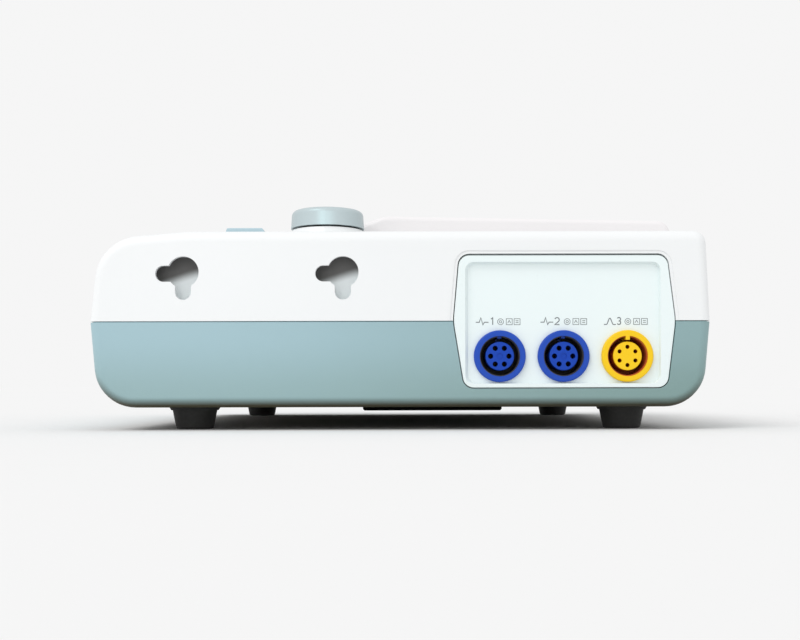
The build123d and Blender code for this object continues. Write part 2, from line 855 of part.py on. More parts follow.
# Insulating cores, with a ring of contact holes
for index, y in enumerate(socket_places):
    hole_radius = pin_hole_radius_yellow if index == yellow else pin_hole_radius_blue
    with BuildPart() as socket_core:
        rod_x((socket_back + socket_floor, core_face), y, socket_height, socket_core_radius)
        fillet(socket_core.edges().sort_by(Axis.X)[-1], radius=hole_radius / 3)
        for pin in range(pin_count):
            turn = pi * (2 * pin + (index == yellow)) / pin_count
            rod_x((socket_back, core_face), y + pin_circle_radius * cos(turn),
                  socket_height + pin_circle_radius * sin(turn), hole_radius, Mode.SUBTRACT)
        if index != yellow:
            rod_x((core_face - core_dimple_depth, core_face), y, socket_height,
                  core_dimple_radius, Mode.SUBTRACT)
    name = f"socket_core_{index + 1}"
    socket_core.part.label = name
    export_step(socket_core.part, f"parts/{name}.step")

# Dark liners in the grooves of the sockets
with BuildPart() as socket_liners:
    liner_front = dish_floor + socket_flange_height - socket_core_recess
    for y in socket_places:
        rod_x((socket_back + socket_floor, liner_front), y, socket_height,
              socket_bore_radius - seat_gap)
    for y in socket_places:
        rod_x((socket_back + socket_floor + socket_liner, liner_front), y, socket_height,
              socket_bore_radius - seat_gap - socket_liner, Mode.SUBTRACT)
        rod_x((socket_back + socket_floor, liner_front), y, socket_height,
              socket_core_radius + seat_gap, Mode.SUBTRACT)
        block((socket_back + socket_floor, liner_front),
              (y - socket_key_width / 2 - seat_gap, y + socket_key_width / 2 + seat_gap),
              (socket_height + socket_core_radius, socket_height + socket_bore_radius),
              Mode.SUBTRACT)
socket_liners.part.label = "socket_liners"
export_step(socket_liners.part, "parts/socket_liners.step")

# Brass contacts, with their solder tails behind the sockets
with BuildPart() as socket_contacts:
    for index, y in enumerate(socket_places):
        for pin in range(pin_count):
            turn = pi * (2 * pin + (index == yellow)) / pin_count
            rod_x((socket_back - contact_tail, core_face - contact_recess),
                  y + pin_circle_radius * cos(turn), socket_height + pin_circle_radius * sin(turn),
                  pin_hole_radius_yellow - seat_gap)
socket_contacts.part.label = "socket_contacts"
export_step(socket_contacts.part, "parts/socket_contacts.step")

# Nuts behind the socket panel
with BuildPart() as socket_nuts:
    nut_front = panel_face - panel_thickness - panel_flange_thickness
    for y in socket_places:
        with BuildSketch(Plane.YZ.offset(nut_front)) as nut:
            with Locations((y, socket_height)):
                RegularPolygon(socket_nut_radius, nut_sides, rotation=180 / nut_sides)
                Circle(socket_barrel_radius + seat_gap, mode=Mode.SUBTRACT)
        extrude(nut.sketch, amount=-socket_nut_thickness)
socket_nuts.part.label = "socket_nuts"
export_step(socket_nuts.part, "parts/socket_nuts.step")

# Rubber feet, recessed for their screws
foot_screw_top = foot_height + foot_boss_height - end_gap
with BuildPart() as feet:
    with Locations(*foot_places):
        Cone(foot_bottom_radius, foot_top_radius - foot_collar_step,
             foot_height - foot_collar_height,
             align=(Align.CENTER, Align.CENTER, Align.MIN))
    fillet(feet.edges().group_by(Axis.Z)[0], radius=foot_collar_height)
    with Locations(*[(x, y, foot_height - foot_collar_height) for x, y in foot_places]):
        Cone(foot_top_radius, foot_top_radius + foot_collar_flare, foot_collar_height,
             align=(Align.CENTER, Align.CENTER, Align.MIN))
    for x, y in foot_places:
        rod_z(x, y, (0, foot_screw_recess), screw_head_radius + fit_gap, Mode.SUBTRACT)
        rod_z(x, y, (0, foot_height), screw_radius + seat_gap, Mode.SUBTRACT)
feet.part.label = "feet"
export_step(feet.part, "parts/feet.step")


def screw_up(x, y, seat, tip, shank, head):
    """Pan head screw driven upwards: its head hangs below the seat."""
    rod_z(x, y, (seat - screw_head_height, seat), head)
    rod_z(x, y, (seat, tip), shank)
    with BuildSketch(Plane.XY.offset(seat - screw_head_height)) as cross:
        with Locations((x, y)):
            Rectangle(1.2 * head, shank / 3)
            Rectangle(shank / 3, 1.2 * head)
    extrude(cross.sketch, amount=screw_head_height / 2, mode=Mode.SUBTRACT)


# Screws of the feet
with BuildPart() as foot_screws:
    for x, y in foot_places:
        screw_up(x, y, foot_screw_recess, foot_screw_top, screw_radius, screw_head_radius)
foot_screws.part.label = "foot_screws"
export_step(foot_screws.part, "parts/foot_screws.step")

# Screws that hold the two shells together
with BuildPart() as case_screws:
    for x, y in case_screw_places:
        screw_up(x, y, case_screw_seat, case_screw_seat + case_screw_length, screw_radius,
                 screw_head_radius)
case_screws.part.label = "case_screws"
export_step(case_screws.part, "parts/case_screws.step")

# Battery cover, its screws and the pack
with BuildPart() as battery_cover:
    block(cover_x, cover_y, (foot_height - battery_cover_thickness, foot_height))
    fillet(battery_cover.edges().filter_by(Axis.Z), radius=battery_round)
    chamfer(battery_cover.faces().sort_by(Axis.Z)[0].edges(), length=battery_cover_thickness / 4)
    for x, y in cover_screw_places:
        rod_z(x, y, (0, foot_height), cover_screw_radius + seat_gap, Mode.SUBTRACT)
        rod_z(x, y, (0, foot_height - battery_cover_thickness / 2),
              cover_screw_head_radius + fit_gap, Mode.SUBTRACT)
battery_cover.part.label = "battery_cover"
export_step(battery_cover.part, "parts/battery_cover.step")

with BuildPart() as battery_cover_screws:
    for x, y in cover_screw_places:
        rod_z(x, y, (foot_height - battery_cover_thickness + 2 * seat_gap,
                     foot_height - battery_cover_thickness / 2), cover_screw_head_radius)
        rod_z(x, y, (foot_height - battery_cover_thickness / 2, floor_top + end_gap),
              cover_screw_radius)
battery_cover_screws.part.label = "battery_cover_screws"
export_step(battery_cover_screws.part, "parts/battery_cover_screws.step")

with BuildPart() as battery_pack:
    block((battery_bay_x[0] + battery_play, battery_bay_x[1] - battery_play),
          (battery_bay_y[0] + battery_play, battery_bay_y[1] - battery_play),
          (foot_height + fit_gap, foot_height + fit_gap + battery_height))
    fillet(battery_pack.edges().filter_by(Axis.X), radius=battery_round)
battery_pack.part.label = "battery_pack"
export_step(battery_pack.part, "parts/battery_pack.step")

# Knob: a domed cap whose hub sits on the encoder shaft
hub_top = knob_top - knob_wall
with BuildPart() as knob:
    with BuildSketch(Plane.XZ) as profile:
        with BuildLine():
            shoulder = knob_top - knob_crown
            Line((0, knob_base), (knob_radius, knob_base))
            rim_radius = knob_radius - knob_draft
            flat_radius = knob_radius * knob_flat_share
            Line((knob_radius, knob_base), (rim_radius, shoulder - knob_round))
            ThreePointArc((rim_radius, shoulder - knob_round),
                          (rim_radius - knob_round * (1 - cos(pi / 4)),
                           shoulder - knob_round * (1 - sin(pi / 4))),
                          (rim_radius - knob_round, shoulder))
            Line((rim_radius - knob_round, shoulder), (flat_radius, knob_top))
            Line((flat_radius, knob_top), (0, knob_top))
            Line((0, knob_top), (0, knob_base))
        make_face()
    revolve(profile.sketch, axis=Axis.Z)
    rod_z(0, 0, (knob_base, hub_top - knob_crown), knob_radius - knob_wall, Mode.SUBTRACT)
    rod_z(0, 0, (knob_base, hub_top), 2 * encoder_shaft_radius)
    rod_z(0, 0, (knob_base, knob_base + encoder_shaft_socket),
          encoder_shaft_radius + running_gap, Mode.SUBTRACT)
knob.part.position = (knob_x, knob_y, 0)
knob.part.label = "knob"
export_step(knob.part, "parts/knob.step")

# Encoder and its shaft
shaft_tip = knob_base + encoder_shaft_socket
with BuildPart() as encoder_body:
    half_body = encoder_body_size / 2
    block((knob_x - half_body, knob_x + half_body), (knob_y - half_body, knob_y + half_body),
          (board_top, board_top + encoder_body_height))
    rod_z(knob_x, knob_y, (board_top + encoder_body_height, cone_top - fit_gap),
          encoder_bush_radius)
    rod_z(knob_x, knob_y, (board_top + knob_travel, cone_top),
          encoder_shaft_radius + running_gap, Mode.SUBTRACT)
encoder_body.part.label = "encoder_body"
export_step(encoder_body.part, "parts/encoder_body.step")

with BuildPart() as encoder_shaft:
    rod_z(knob_x, knob_y, (board_top + 2 * knob_travel, shaft_tip), encoder_shaft_radius)
encoder_shaft.part.label = "encoder_shaft"
export_step(encoder_shaft.part, "parts/encoder_shaft.step")

# Keys: a low cap, steep at the front and sloping at the rear, with a hidden flange and stem
flange_top = roof - fit_gap
for index, x in enumerate(key_places):
    with BuildPart() as key:
        with BuildSketch(Plane.YZ.offset(x)) as profile:
            with BuildLine():
                y_front = key_y - key_length / 2
                y_rear = key_y + key_length / 2
                Polyline((y_front, flange_top), (y_front, case_height + fit_gap),
                         (y_front + key_lip, key_top), (y_rear - key_slope, key_top),
                         (y_rear, case_height + fit_gap), (y_rear, flange_top), close=True)
            make_face()
        extrude(profile.sketch, amount=key_width / 2, both=True)
        top_rim = key.edges().filter_by_position(Axis.Z, key_top - key_lip, key_top + key_lip)
        fillet(top_rim, radius=key_round)
        block((x - key_width / 2 - key_flange, x + key_width / 2 + key_flange),
              (y_front - key_flange, y_rear + key_flange),
              (flange_top - key_flange_thickness, flange_top))
        rod_z(x, key_y, (board_top + switch_height + key_travel + 2 * seat_gap, flange_top),
              key_stem_radius)
    name = f"key_{index + 1}"
    key.part.label = name
    export_step(key.part, f"parts/{name}.step")

# Board under the keys and the knob, with its push switches
with BuildPart() as key_board:
    block(board_x, board_y, (board_top - board_thickness, board_top))
    for x in key_places:
        block((x - switch_size / 2, x + switch_size / 2),
              (key_y - switch_size / 2, key_y + switch_size / 2),
              (board_top, board_top + switch_height - switch_plunger))
        rod_z(x, key_y, (board_top + switch_height - switch_plunger, board_top + switch_height),
              key_stem_radius / 2)
key_board.part.label = "key_board"
export_step(key_board.part, "parts/key_board.step")

# Indicator lenses, light guides that stand on the key board
with BuildPart() as indicator_lenses:
    for x in lens_places:
        block((x - lens_length / 2, x + lens_length / 2),
              (lens_y - lens_width / 2, lens_y + lens_width / 2),
              (board_top, case_height + lens_proud))
    fillet(indicator_lenses.edges().filter_by(Axis.Z), radius=lens_width / 4)
indicator_lenses.part.label = "indicator_lenses"
export_step(indicator_lenses.part, "parts/indicator_lenses.step")


def display_solid():
    """The closed display panel: a wedge with a round hinge edge in front."""
    run = crest_y - hinge_y
    rise = crest_z - hinge_z
    reach = sqrt(run * run + rise * rise)
    turn = atan2(rise, run) + acos(display_hinge_radius / reach)
    touch = (hinge_y + display_hinge_radius * cos(turn), hinge_z + display_hinge_radius * sin(turn))
    with BuildPart() as panel:
        with BuildSketch(Plane.YZ) as profile:
            with BuildLine():
                Line(touch, (crest_y, crest_z))
                Line((crest_y, crest_z), (display_rear, display_rear_z))
                Line((display_rear, display_rear_z), (display_rear, display_base))
                Line((display_rear, display_base), (hinge_y, display_base))
                ThreePointArc((hinge_y, display_base),
                              (hinge_y - display_hinge_radius, hinge_z), touch)
            make_face()
            fillet(profile.vertices().sort_by_distance((crest_y, crest_z))[0],
                   radius=display_crest_radius)
            fillet(profile.vertices().sort_by_distance((display_rear, display_rear_z))[0],
                   radius=display_rear_radius)
        extrude(profile.sketch, amount=half_width, both=True)
        block((-half_width, display_x[0]), (front, rear), (0, 2 * case_height), Mode.SUBTRACT)
        block((display_x[1], half_width), (front, rear), (0, 2 * case_height), Mode.SUBTRACT)
        rim = panel.faces().filter_by(Axis.X).edges()
        rim = rim.filter_by(lambda edge: (edge @ 0.5).Z > display_base + fit_gap)
        fillet(rim, radius=display_edge_radius)
    return panel.part


display_outer = display_solid()
slope = (display_rear_z - crest_z) / (display_rear - crest_y)
glass_y = (crest_y + glass_border_front, display_rear - glass_border_rear)
glass_x = (display_x[0] + glass_border_side, display_x[1] - glass_border_side)
glass_middle_y = (glass_y[0] + glass_y[1]) / 2
screen = Plane(origin=((glass_x[0] + glass_x[1]) / 2, glass_middle_y,
                       crest_z + slope * (glass_middle_y - crest_y)),
               x_dir=(1, 0, 0), z_dir=(0, -slope, 1))
glass_width = glass_x[1] - glass_x[0]
glass_length = glass_y[1] - glass_y[0]
lid_size = 2 * case_width


def screen_block(width, length, low, high, mode=Mode.ADD):
    """Box centred on the screen and square to it, between two depths below its face."""
    with BuildSketch(screen.offset(-low)) as section:
        Rectangle(width, length)
    extrude(section.sketch, amount=low - high, mode=mode)


# Rear housing of the display, notched for the lugs that carry it
with BuildPart() as display_back:
    add(display_outer)
    screen_block(lid_size, lid_size, -lid_size, display_bezel_depth, Mode.SUBTRACT)
    add(display_outer, mode=Mode.INTERSECT)
    block((display_x[0] + display_wall, display_x[1] - display_wall),
          (hinge_y + 2 * display_hinge_radius, display_rear - display_wall),
          (display_base + display_wall, case_height * 2), Mode.SUBTRACT)
    for x in lug_places:
        notch = (x - display_lug_width / 2 - fit_gap, x + display_lug_width / 2 + fit_gap)
        rod_x(notch, hinge_y, hinge_z, display_hinge_radius + fit_gap, Mode.SUBTRACT)
        pin_reach = display_lug_width / 2 + display_pin_reach
        rod_x((x - pin_reach, x + pin_reach), hinge_y, hinge_z,
              display_pin_radius + running_gap, Mode.SUBTRACT)
    scoop_x = (display_x[0] + display_x[1]) / 2
    block((scoop_x - scoop_width / 2 - display_wall, scoop_x + scoop_width / 2 + display_wall),
          (display_rear - scoop_length - display_wall, display_rear - display_wall),
          (display_base, display_base + scoop_height + display_wall / 2))
    block((scoop_x - scoop_width / 2, scoop_x + scoop_width / 2),
          (display_rear - scoop_length, display_rear), (display_base, display_base + scoop_height),
          Mode.SUBTRACT)
display_back.part.label = "display_back"
export_step(display_back.part, "parts/display_back.step")

# Bezel round the screen
with BuildPart() as display_bezel:
    add(display_outer)
    screen_block(lid_size, lid_size, display_bezel_depth, lid_size, Mode.SUBTRACT)
    screen_block(glass_width, glass_length, -glass_thickness, glass_thickness, Mode.SUBTRACT)
    screen_block(glass_width - 2 * glass_ledge, glass_length - 2 * glass_ledge, 0,
                 2 * display_bezel_depth, Mode.SUBTRACT)
    screen_block(glass_width, glass_length, display_wall + glass_thickness,
                 2 * display_bezel_depth, Mode.SUBTRACT)
display_bezel.part.label = "display_bezel"
export_step(display_bezel.part, "parts/display_bezel.step")

# Cover glass, and the LCD module with its driver board
with BuildPart() as display_glass:
    screen_block(glass_width - 2 * seat_gap, glass_length - 2 * seat_gap, glass_sink,
                 glass_thickness)
display_glass.part.label = "display_glass"
export_step(display_glass.part, "parts/display_glass.step")

lcd_top = glass_thickness + glass_sink
with BuildPart() as lcd_module:
    screen_block(glass_width - 2 * glass_ledge - 2 * fit_gap,
                 glass_length - 2 * glass_ledge - 2 * fit_gap, lcd_top, lcd_top + lcd_thickness)
    screen_block(driver_board_width, driver_board_length, lcd_top + lcd_thickness,
                 lcd_top + lcd_thickness + board_thickness)
lcd_module.part.label = "lcd_module"
export_step(lcd_module.part, "parts/lcd_module.step")

# Hinge pins of the display, fast in the lugs
with BuildPart() as display_hinge_pins:
    for x in lug_places:
        reach = display_lug_width / 2 + display_pin_reach - end_gap
        rod_x((x - reach, x + reach), hinge_y, hinge_z, display_pin_radius)
display_hinge_pins.part.label = "display_hinge_pins"
export_step(display_hinge_pins.part, "parts/display_hinge_pins.step")

# Recorder door: a piece of the case skin with a hinge barrel and two cheeks for the platen
cheek_left = (paper_x[0] - cheek_gap - cheek_thickness, paper_x[0] - cheek_gap)
cheek_right = (paper_x[1] + cheek_gap, paper_x[1] + cheek_gap + cheek_thickness)
with BuildPart() as recorder_door:
    add(top_outer)
    add(top_inner, mode=Mode.SUBTRACT)
    block(door_x, (front, slot_front), (door_hinge_height, case_height), Mode.INTERSECT)
    rod_x(door_x, door_hinge_y, door_hinge_height, door_barrel_radius)
    rod_x((door_x[0], door_x[0] + door_pin_reach), door_hinge_y, door_hinge_height,
          door_pin_radius + running_gap, Mode.SUBTRACT)
    rod_x((door_x[1] - door_pin_reach, door_x[1]), door_hinge_y, door_hinge_height,
          door_pin_radius + running_gap, Mode.SUBTRACT)
    for cheek in (cheek_left, cheek_right):
        block(cheek, (platen_y - cheek_length / 2, platen_y + cheek_length / 2),
              (platen_height, roof + wall / 2))
        rod_x(cheek, platen_y, platen_height, cheek_length / 2)
        rod_x(cheek, platen_y, platen_height, platen_shaft_radius + running_gap, Mode.SUBTRACT)
    # Seat of the tear bar
    block(paper_x, (slot_front - tear_bar_width, slot_front),
          (case_height - tear_bar_thickness, case_height), Mode.SUBTRACT)
recorder_door.part.label = "recorder_door"
export_step(recorder_door.part, "parts/recorder_door.step")

with BuildPart() as door_hinge_pins:
    rod_x((door_x[0] - fit_gap - door_pin_reach + end_gap,
           door_x[0] + door_pin_reach - end_gap),
          door_hinge_y, door_hinge_height, door_pin_radius)
    rod_x((door_x[1] - door_pin_reach + end_gap,
           door_x[1] + fit_gap + door_pin_reach - end_gap),
          door_hinge_y, door_hinge_height, door_pin_radius)
door_hinge_pins.part.label = "door_hinge_pins"
export_step(door_hinge_pins.part, "parts/door_hinge_pins.step")

# Toothed tear bar along the free edge of the door
with BuildPart() as tear_bar:
    tooth_count = int((paper_width - 2 * fit_gap) / tear_tooth_pitch)
    bar_start = paper_x[0] + fit_gap
    with BuildSketch(Plane.XY.offset(case_height - tear_bar_thickness)) as outline:
        with BuildLine():
            points = [(bar_start, slot_front - tear_bar_width)]
            points.append((bar_start, slot_front - tear_tooth_depth))
            for tooth in range(tooth_count):
                tooth_x = bar_start + tooth * tear_tooth_pitch
                points.append((tooth_x + tear_tooth_pitch / 2, slot_front))
                points.append((tooth_x + tear_tooth_pitch, slot_front - tear_tooth_depth))
            points.append((points[-1][0], slot_front - tear_bar_width))
            Polyline(*points, close=True)
        make_face()
    extrude(amount=tear_bar_thickness)
tear_bar.part.label = "tear_bar"
export_step(tear_bar.part, "parts/tear_bar.step")

# Platen roller on its shaft
with BuildPart() as platen_shaft:
    rod_x((cheek_left[0] - shaft_end, gear_x[1]), platen_y, platen_height, platen_shaft_radius)
platen_shaft.part.label = "platen_shaft"
export_step(platen_shaft.part, "parts/platen_shaft.step")

with BuildPart() as platen_sleeve:
    rod_x((paper_x[0], paper_x[1]), platen_y, platen_height, platen_radius)
    rod_x((paper_x[0], paper_x[1]), platen_y, platen_height, platen_shaft_radius, Mode.SUBTRACT)
platen_sleeve.part.label = "platen_sleeve"
export_step(platen_sleeve.part, "parts/platen_sleeve.step")


def gear_outline(teeth, first_tooth):
    """Points of an involute gear about the origin, with one tooth at the angle first_tooth."""
    pitch_radius = gear_module * teeth / 2
    base_radius = pitch_radius * cos(pressure_angle)
    root_radius = pitch_radius - gear_dedendum * gear_module
    tip_radius = pitch_radius + gear_addendum * gear_module
    involute_at_pitch = tan(pressure_angle) - pressure_angle
    half_pitch_tooth = pi / (2 * teeth) - gear_backlash / (2 * pitch_radius)
    flank = []
    for radius in (root_radius, max(root_radius, base_radius) + 0.01, pitch_radius,
                   (pitch_radius + tip_radius) / 2, tip_radius):
        contact = acos(min(1.0, base_radius / radius))
        half_tooth = half_pitch_tooth + involute_at_pitch - (tan(contact) - contact)
        flank.append((radius, half_tooth))
    points = []
    for tooth in range(teeth):
        middle = first_tooth + 2 * pi * tooth / teeth
        for radius, half_tooth in flank:
            points.append((radius * cos(middle - half_tooth), radius * sin(middle - half_tooth)))
        for radius, half_tooth in reversed(flank):
            points.append((radius * cos(middle + half_tooth), radius * sin(middle + half_tooth)))
    return points


def gear(teeth, first_tooth, bore_radius, y, z):
    """Spur gear on an axis along X."""
    with BuildPart() as wheel:
        with BuildSketch(Plane((gear_x[0], y, z), x_dir=(0, 1, 0), z_dir=(1, 0, 0))) as section:
            with BuildLine():
                Polyline(*gear_outline(teeth, first_tooth), close=True)
            make_face()
            Circle(bore_radius, mode=Mode.SUBTRACT)
        extrude(amount=gear_width)
    return wheel.part


down = -pi / 2
platen_gear = gear(platen_teeth, down, platen_shaft_radius, platen_y, platen_height)
platen_gear.label = "platen_gear"
export_step(platen_gear, "parts/platen_gear.step")

idler_first = pi / 2 + pi / idler_teeth
idler_gear = gear(idler_teeth, idler_first, idler_pin_radius + running_gap, platen_y, idler_z)
idler_gear.label = "idler_gear"
export_step(idler_gear, "parts/idler_gear.step")

# The pinion turns its gap to where the idler puts a tooth, or its tooth to where it puts a gap
teeth_passed = (pinion_direction - idler_first) * idler_teeth / (2 * pi)
tooth_share = teeth_passed - round(teeth_passed)
pinion_first = pinion_direction + pi + pi / pinion_teeth + tooth_share * 2 * pi / pinion_teeth
motor_pinion = gear(pinion_teeth, pinion_first, motor_shaft_radius, pinion_y, pinion_z)
motor_pinion.label = "motor_pinion"
export_step(motor_pinion, "parts/motor_pinion.step")

with BuildPart() as idler_pin:
    rod_x((gear_x[0] - shaft_end, plate_right + plate_thickness), platen_y, idler_z,
          idler_pin_radius)
idler_pin.part.label = "idler_pin"
export_step(idler_pin.part, "parts/idler_pin.step")

# Stepper motor and its shaft
motor_front = plate_right + plate_thickness
with BuildPart() as stepper_motor:
    with BuildSketch(Plane.YZ.offset(motor_front)) as square:
        with Locations((pinion_y, pinion_z)):
            RectangleRounded(motor_size, motor_size, motor_size / 8)
    extrude(amount=motor_length)
    rod_x((plate_right, motor_front), pinion_y, pinion_z, motor_pilot_radius)
    rod_x((plate_right, motor_front + motor_length / 2), pinion_y, pinion_z,
          motor_shaft_radius + running_gap, Mode.SUBTRACT)
stepper_motor.part.label = "stepper_motor"
export_step(stepper_motor.part, "parts/stepper_motor.step")

with BuildPart() as motor_shaft:
    rod_x((gear_x[0] - shaft_end, motor_front + motor_length / 2 - end_gap), pinion_y, pinion_z,
          motor_shaft_radius)
motor_shaft.part.label = "motor_shaft"
export_step(motor_shaft.part, "parts/motor_shaft.step")

# Print head on its finned heat sink, held between two side plates
head_y = platen_y + platen_radius + fit_gap
head_z = (platen_height + platen_radius - head_height, platen_height + platen_radius)
with BuildPart() as print_head:
    block(paper_x, (head_y, head_y + head_thickness), head_z)
print_head.part.label = "print_head"
export_step(print_head.part, "parts/print_head.step")

sink_y = (head_y + head_thickness, head_y + head_thickness + head_sink_thickness)
with BuildPart() as head_heat_sink:
    block((plate_left + plate_thickness, plate_right), sink_y, head_z)
    fin_pitch = head_height / fin_count
    for index in range(fin_count):
        z = head_z[0] + (index + 0.5) * fin_pitch
        block((plate_left, plate_right), (sink_y[0] + head_sink_thickness / 2, sink_y[1]),
              (z - fin_gap / 2, z + fin_gap / 2), Mode.SUBTRACT)
head_heat_sink.part.label = "head_heat_sink"
export_step(head_heat_sink.part, "parts/head_heat_sink.step")

plate_y = (platen_y - plate_length / 4, platen_y + 3 * plate_length / 4)
with BuildPart() as recorder_plates:
    for x in (plate_left, plate_right):
        block((x, x + plate_thickness), plate_y, (floor_top, roof - plate_head_room))
    rod_x((plate_left, plate_right + plate_thickness), platen_y, idler_z,
          idler_pin_radius + seat_gap, Mode.SUBTRACT)
    rod_x((plate_right, plate_right + plate_thickness), pinion_y, pinion_z,
          motor_pilot_radius + seat_gap, Mode.SUBTRACT)
recorder_plates.part.label = "recorder_plates"
export_step(recorder_plates.part, "parts/recorder_plates.step")

# Tray for the folded paper
with BuildPart() as paper_tray:
    block((tray_x[0] - tray_wall, tray_x[1] + tray_wall), (tray_y[0] - tray_wall, tray_y[1] + tray_wall),
          (tray_floor_height, tray_floor_height + tray_depth))
    block(tray_x, tray_y, (tray_floor_top, tray_floor_height + tray_depth), Mode.SUBTRACT)
    # The front is lower, clear of the door's barrel
    block((tray_x[0] - tray_wall, tray_x[1] + tray_wall),
          (tray_y[0] - tray_wall, door_hinge_y + door_barrel_radius + door_stop_gap),
          (door_hinge_height - door_barrel_radius - door_stop_gap,
           tray_floor_height + tray_depth), Mode.SUBTRACT)
paper_tray.part.label = "paper_tray"
export_step(paper_tray.part, "parts/paper_tray.step")

with BuildPart() as paper_pack:
    block(paper_x, (tray_y[0] + paper_play, tray_y[0] + paper_play + paper_length),
          (tray_floor_top, tray_floor_top + paper_stack))
paper_pack.part.label = "paper_pack"
export_step(paper_pack.part, "parts/paper_pack.step")

# Release button of the recorder door, with an arm that reaches under the door
with BuildPart() as release_button:
    block(button_x, button_y, (flange_top, case_height + button_rise))
    fillet(release_button.edges().filter_by_position(Axis.Z, case_height, case_height * 2),
           radius=button_lip)
    block((button_x[0] - button_lip, button_x[1] + button_lip),
          (button_y[0] - button_lip, button_y[1] + button_lip),
          (flange_top - button_lip, flange_top))
    arm_y = (button_y[0] + button_y[1]) / 2
    block((plate_right + plate_thickness + fit_gap, button_x[0]),
          (arm_y - button_arm_width / 2, arm_y + button_arm_width / 2),
          (flange_top - button_arm_thickness, flange_top))
release_button.part.label = "release_button"
export_step(release_button.part, "parts/release_button.step")

# Loudspeaker under its grille
with BuildPart() as loudspeaker:
    with BuildSketch(Plane.XY.offset(roof)) as rim:
        with Locations((speaker_x, speaker_y)):
            RectangleRounded(speaker_width, speaker_length, speaker_frame * 2)
    extrude(amount=-speaker_frame)
    with BuildSketch(Plane.XY.offset(roof - speaker_frame)) as basket:
        with Locations((speaker_x, speaker_y)):
            SlotOverall(speaker_length - 2 * speaker_frame, speaker_width - 2 * speaker_frame,
                        rotation=90)
    extrude(amount=-speaker_depth, taper=speaker_taper)
    magnet_top = roof - speaker_frame - speaker_depth
    rod_z(speaker_x, speaker_y, (magnet_top - speaker_magnet_depth, magnet_top),
          speaker_width / 4)
loudspeaker.part.label = "loudspeaker"
export_step(loudspeaker.part, "parts/loudspeaker.step")

# Rear plate, with openings for its connectors
plate_front = bay_floor - rear_plate_thickness
with BuildPart() as rear_plate:
    block((bay_x[0] - rear_plate_lap, bay_x[1] + rear_plate_lap), (plate_front, bay_floor),
          (bay_z[0] - rear_plate_lap, bay_z[1] + rear_plate_lap))
    for x, width, height in ((inlet_x, inlet_width, inlet_height),
                             (rocker_x, rocker_width, rocker_height),
                             (serial_x, serial_width, serial_height),
                             (network_x, network_width, network_height)):
        block((x - width / 2 - seat_gap, x + width / 2 + seat_gap), (plate_front, bay_floor),
              (connector_z - height / 2 - seat_gap, connector_z + height / 2 + seat_gap),
              Mode.SUBTRACT)
    rod_y(post_x, (plate_front, bay_floor), connector_z, post_radius + seat_gap, Mode.SUBTRACT)
rear_plate.part.label = "rear_plate"
export_step(rear_plate.part, "parts/rear_plate.step")

# Mains inlet and its three blades
inlet_front = bay_floor + inlet_flange_thickness - inlet_depth
mouth = bay_floor + inlet_flange_thickness
with BuildPart() as mains_inlet:
    block((inlet_x - inlet_width / 2, inlet_x + inlet_width / 2), (inlet_front, bay_floor),
          (connector_z - inlet_height / 2, connector_z + inlet_height / 2))
    block((inlet_x - inlet_flange_width / 2, inlet_x + inlet_flange_width / 2), (bay_floor, mouth),
          (connector_z - inlet_flange_height / 2, connector_z + inlet_flange_height / 2))
    fillet(mains_inlet.faces().sort_by(Axis.Y)[-1].edges().filter_by(Axis.Z), radius=inlet_round)
    with BuildSketch(Plane.XZ.offset(-mouth)) as cavity:
        with Locations((inlet_x, connector_z)):
            Rectangle(inlet_cavity_width, inlet_cavity_height)
        chamfer(cavity.vertices().group_by(Axis.Y)[-1], length=inlet_cavity_height / 4)
    extrude(cavity.sketch, amount=inlet_cavity_depth, mode=Mode.SUBTRACT)
mains_inlet.part.label = "mains_inlet"
export_step(mains_inlet.part, "parts/mains_inlet.step")

with BuildPart() as inlet_blades:
    for x, z in ((inlet_x - blade_pitch, connector_z - blade_row_gap / 2),
                 (inlet_x, connector_z + blade_row_gap / 2),
                 (inlet_x + blade_pitch, connector_z - blade_row_gap / 2)):
        block((x - blade_thickness / 2, x + blade_thickness / 2),
              (mouth - inlet_cavity_depth, mouth - blade_recess),
              (z - blade_width / 2, z + blade_width / 2))
inlet_blades.part.label = "inlet_blades"
export_step(inlet_blades.part, "parts/inlet_blades.step")

# Mains switch: a frame and a rocker that tips about X
rocker_y = bay_floor - rocker_axis_depth
with BuildPart() as switch_frame:
    block((rocker_x - rocker_width / 2, rocker_x + rocker_width / 2),
          (bay_floor - rocker_depth, bay_floor),
          (connector_z - rocker_height / 2, connector_z + rocker_height / 2))
    block((rocker_x - rocker_width / 2 - rocker_lip, rocker_x + rocker_width / 2 + rocker_lip),
          (bay_floor, bay_floor + rocker_frame),
          (connector_z - rocker_height / 2 - rocker_lip,
           connector_z + rocker_height / 2 + rocker_lip))
    block((rocker_x - rocker_width / 2 + rocker_frame, rocker_x + rocker_width / 2 - rocker_frame),
          (bay_floor - rocker_depth + rocker_frame, bay_floor + rocker_frame),
          (connector_z - rocker_height / 2 + rocker_frame,
           connector_z + rocker_height / 2 - rocker_frame), Mode.SUBTRACT)
switch_frame.part.label = "switch_frame"
export_step(switch_frame.part, "parts/switch_frame.step")

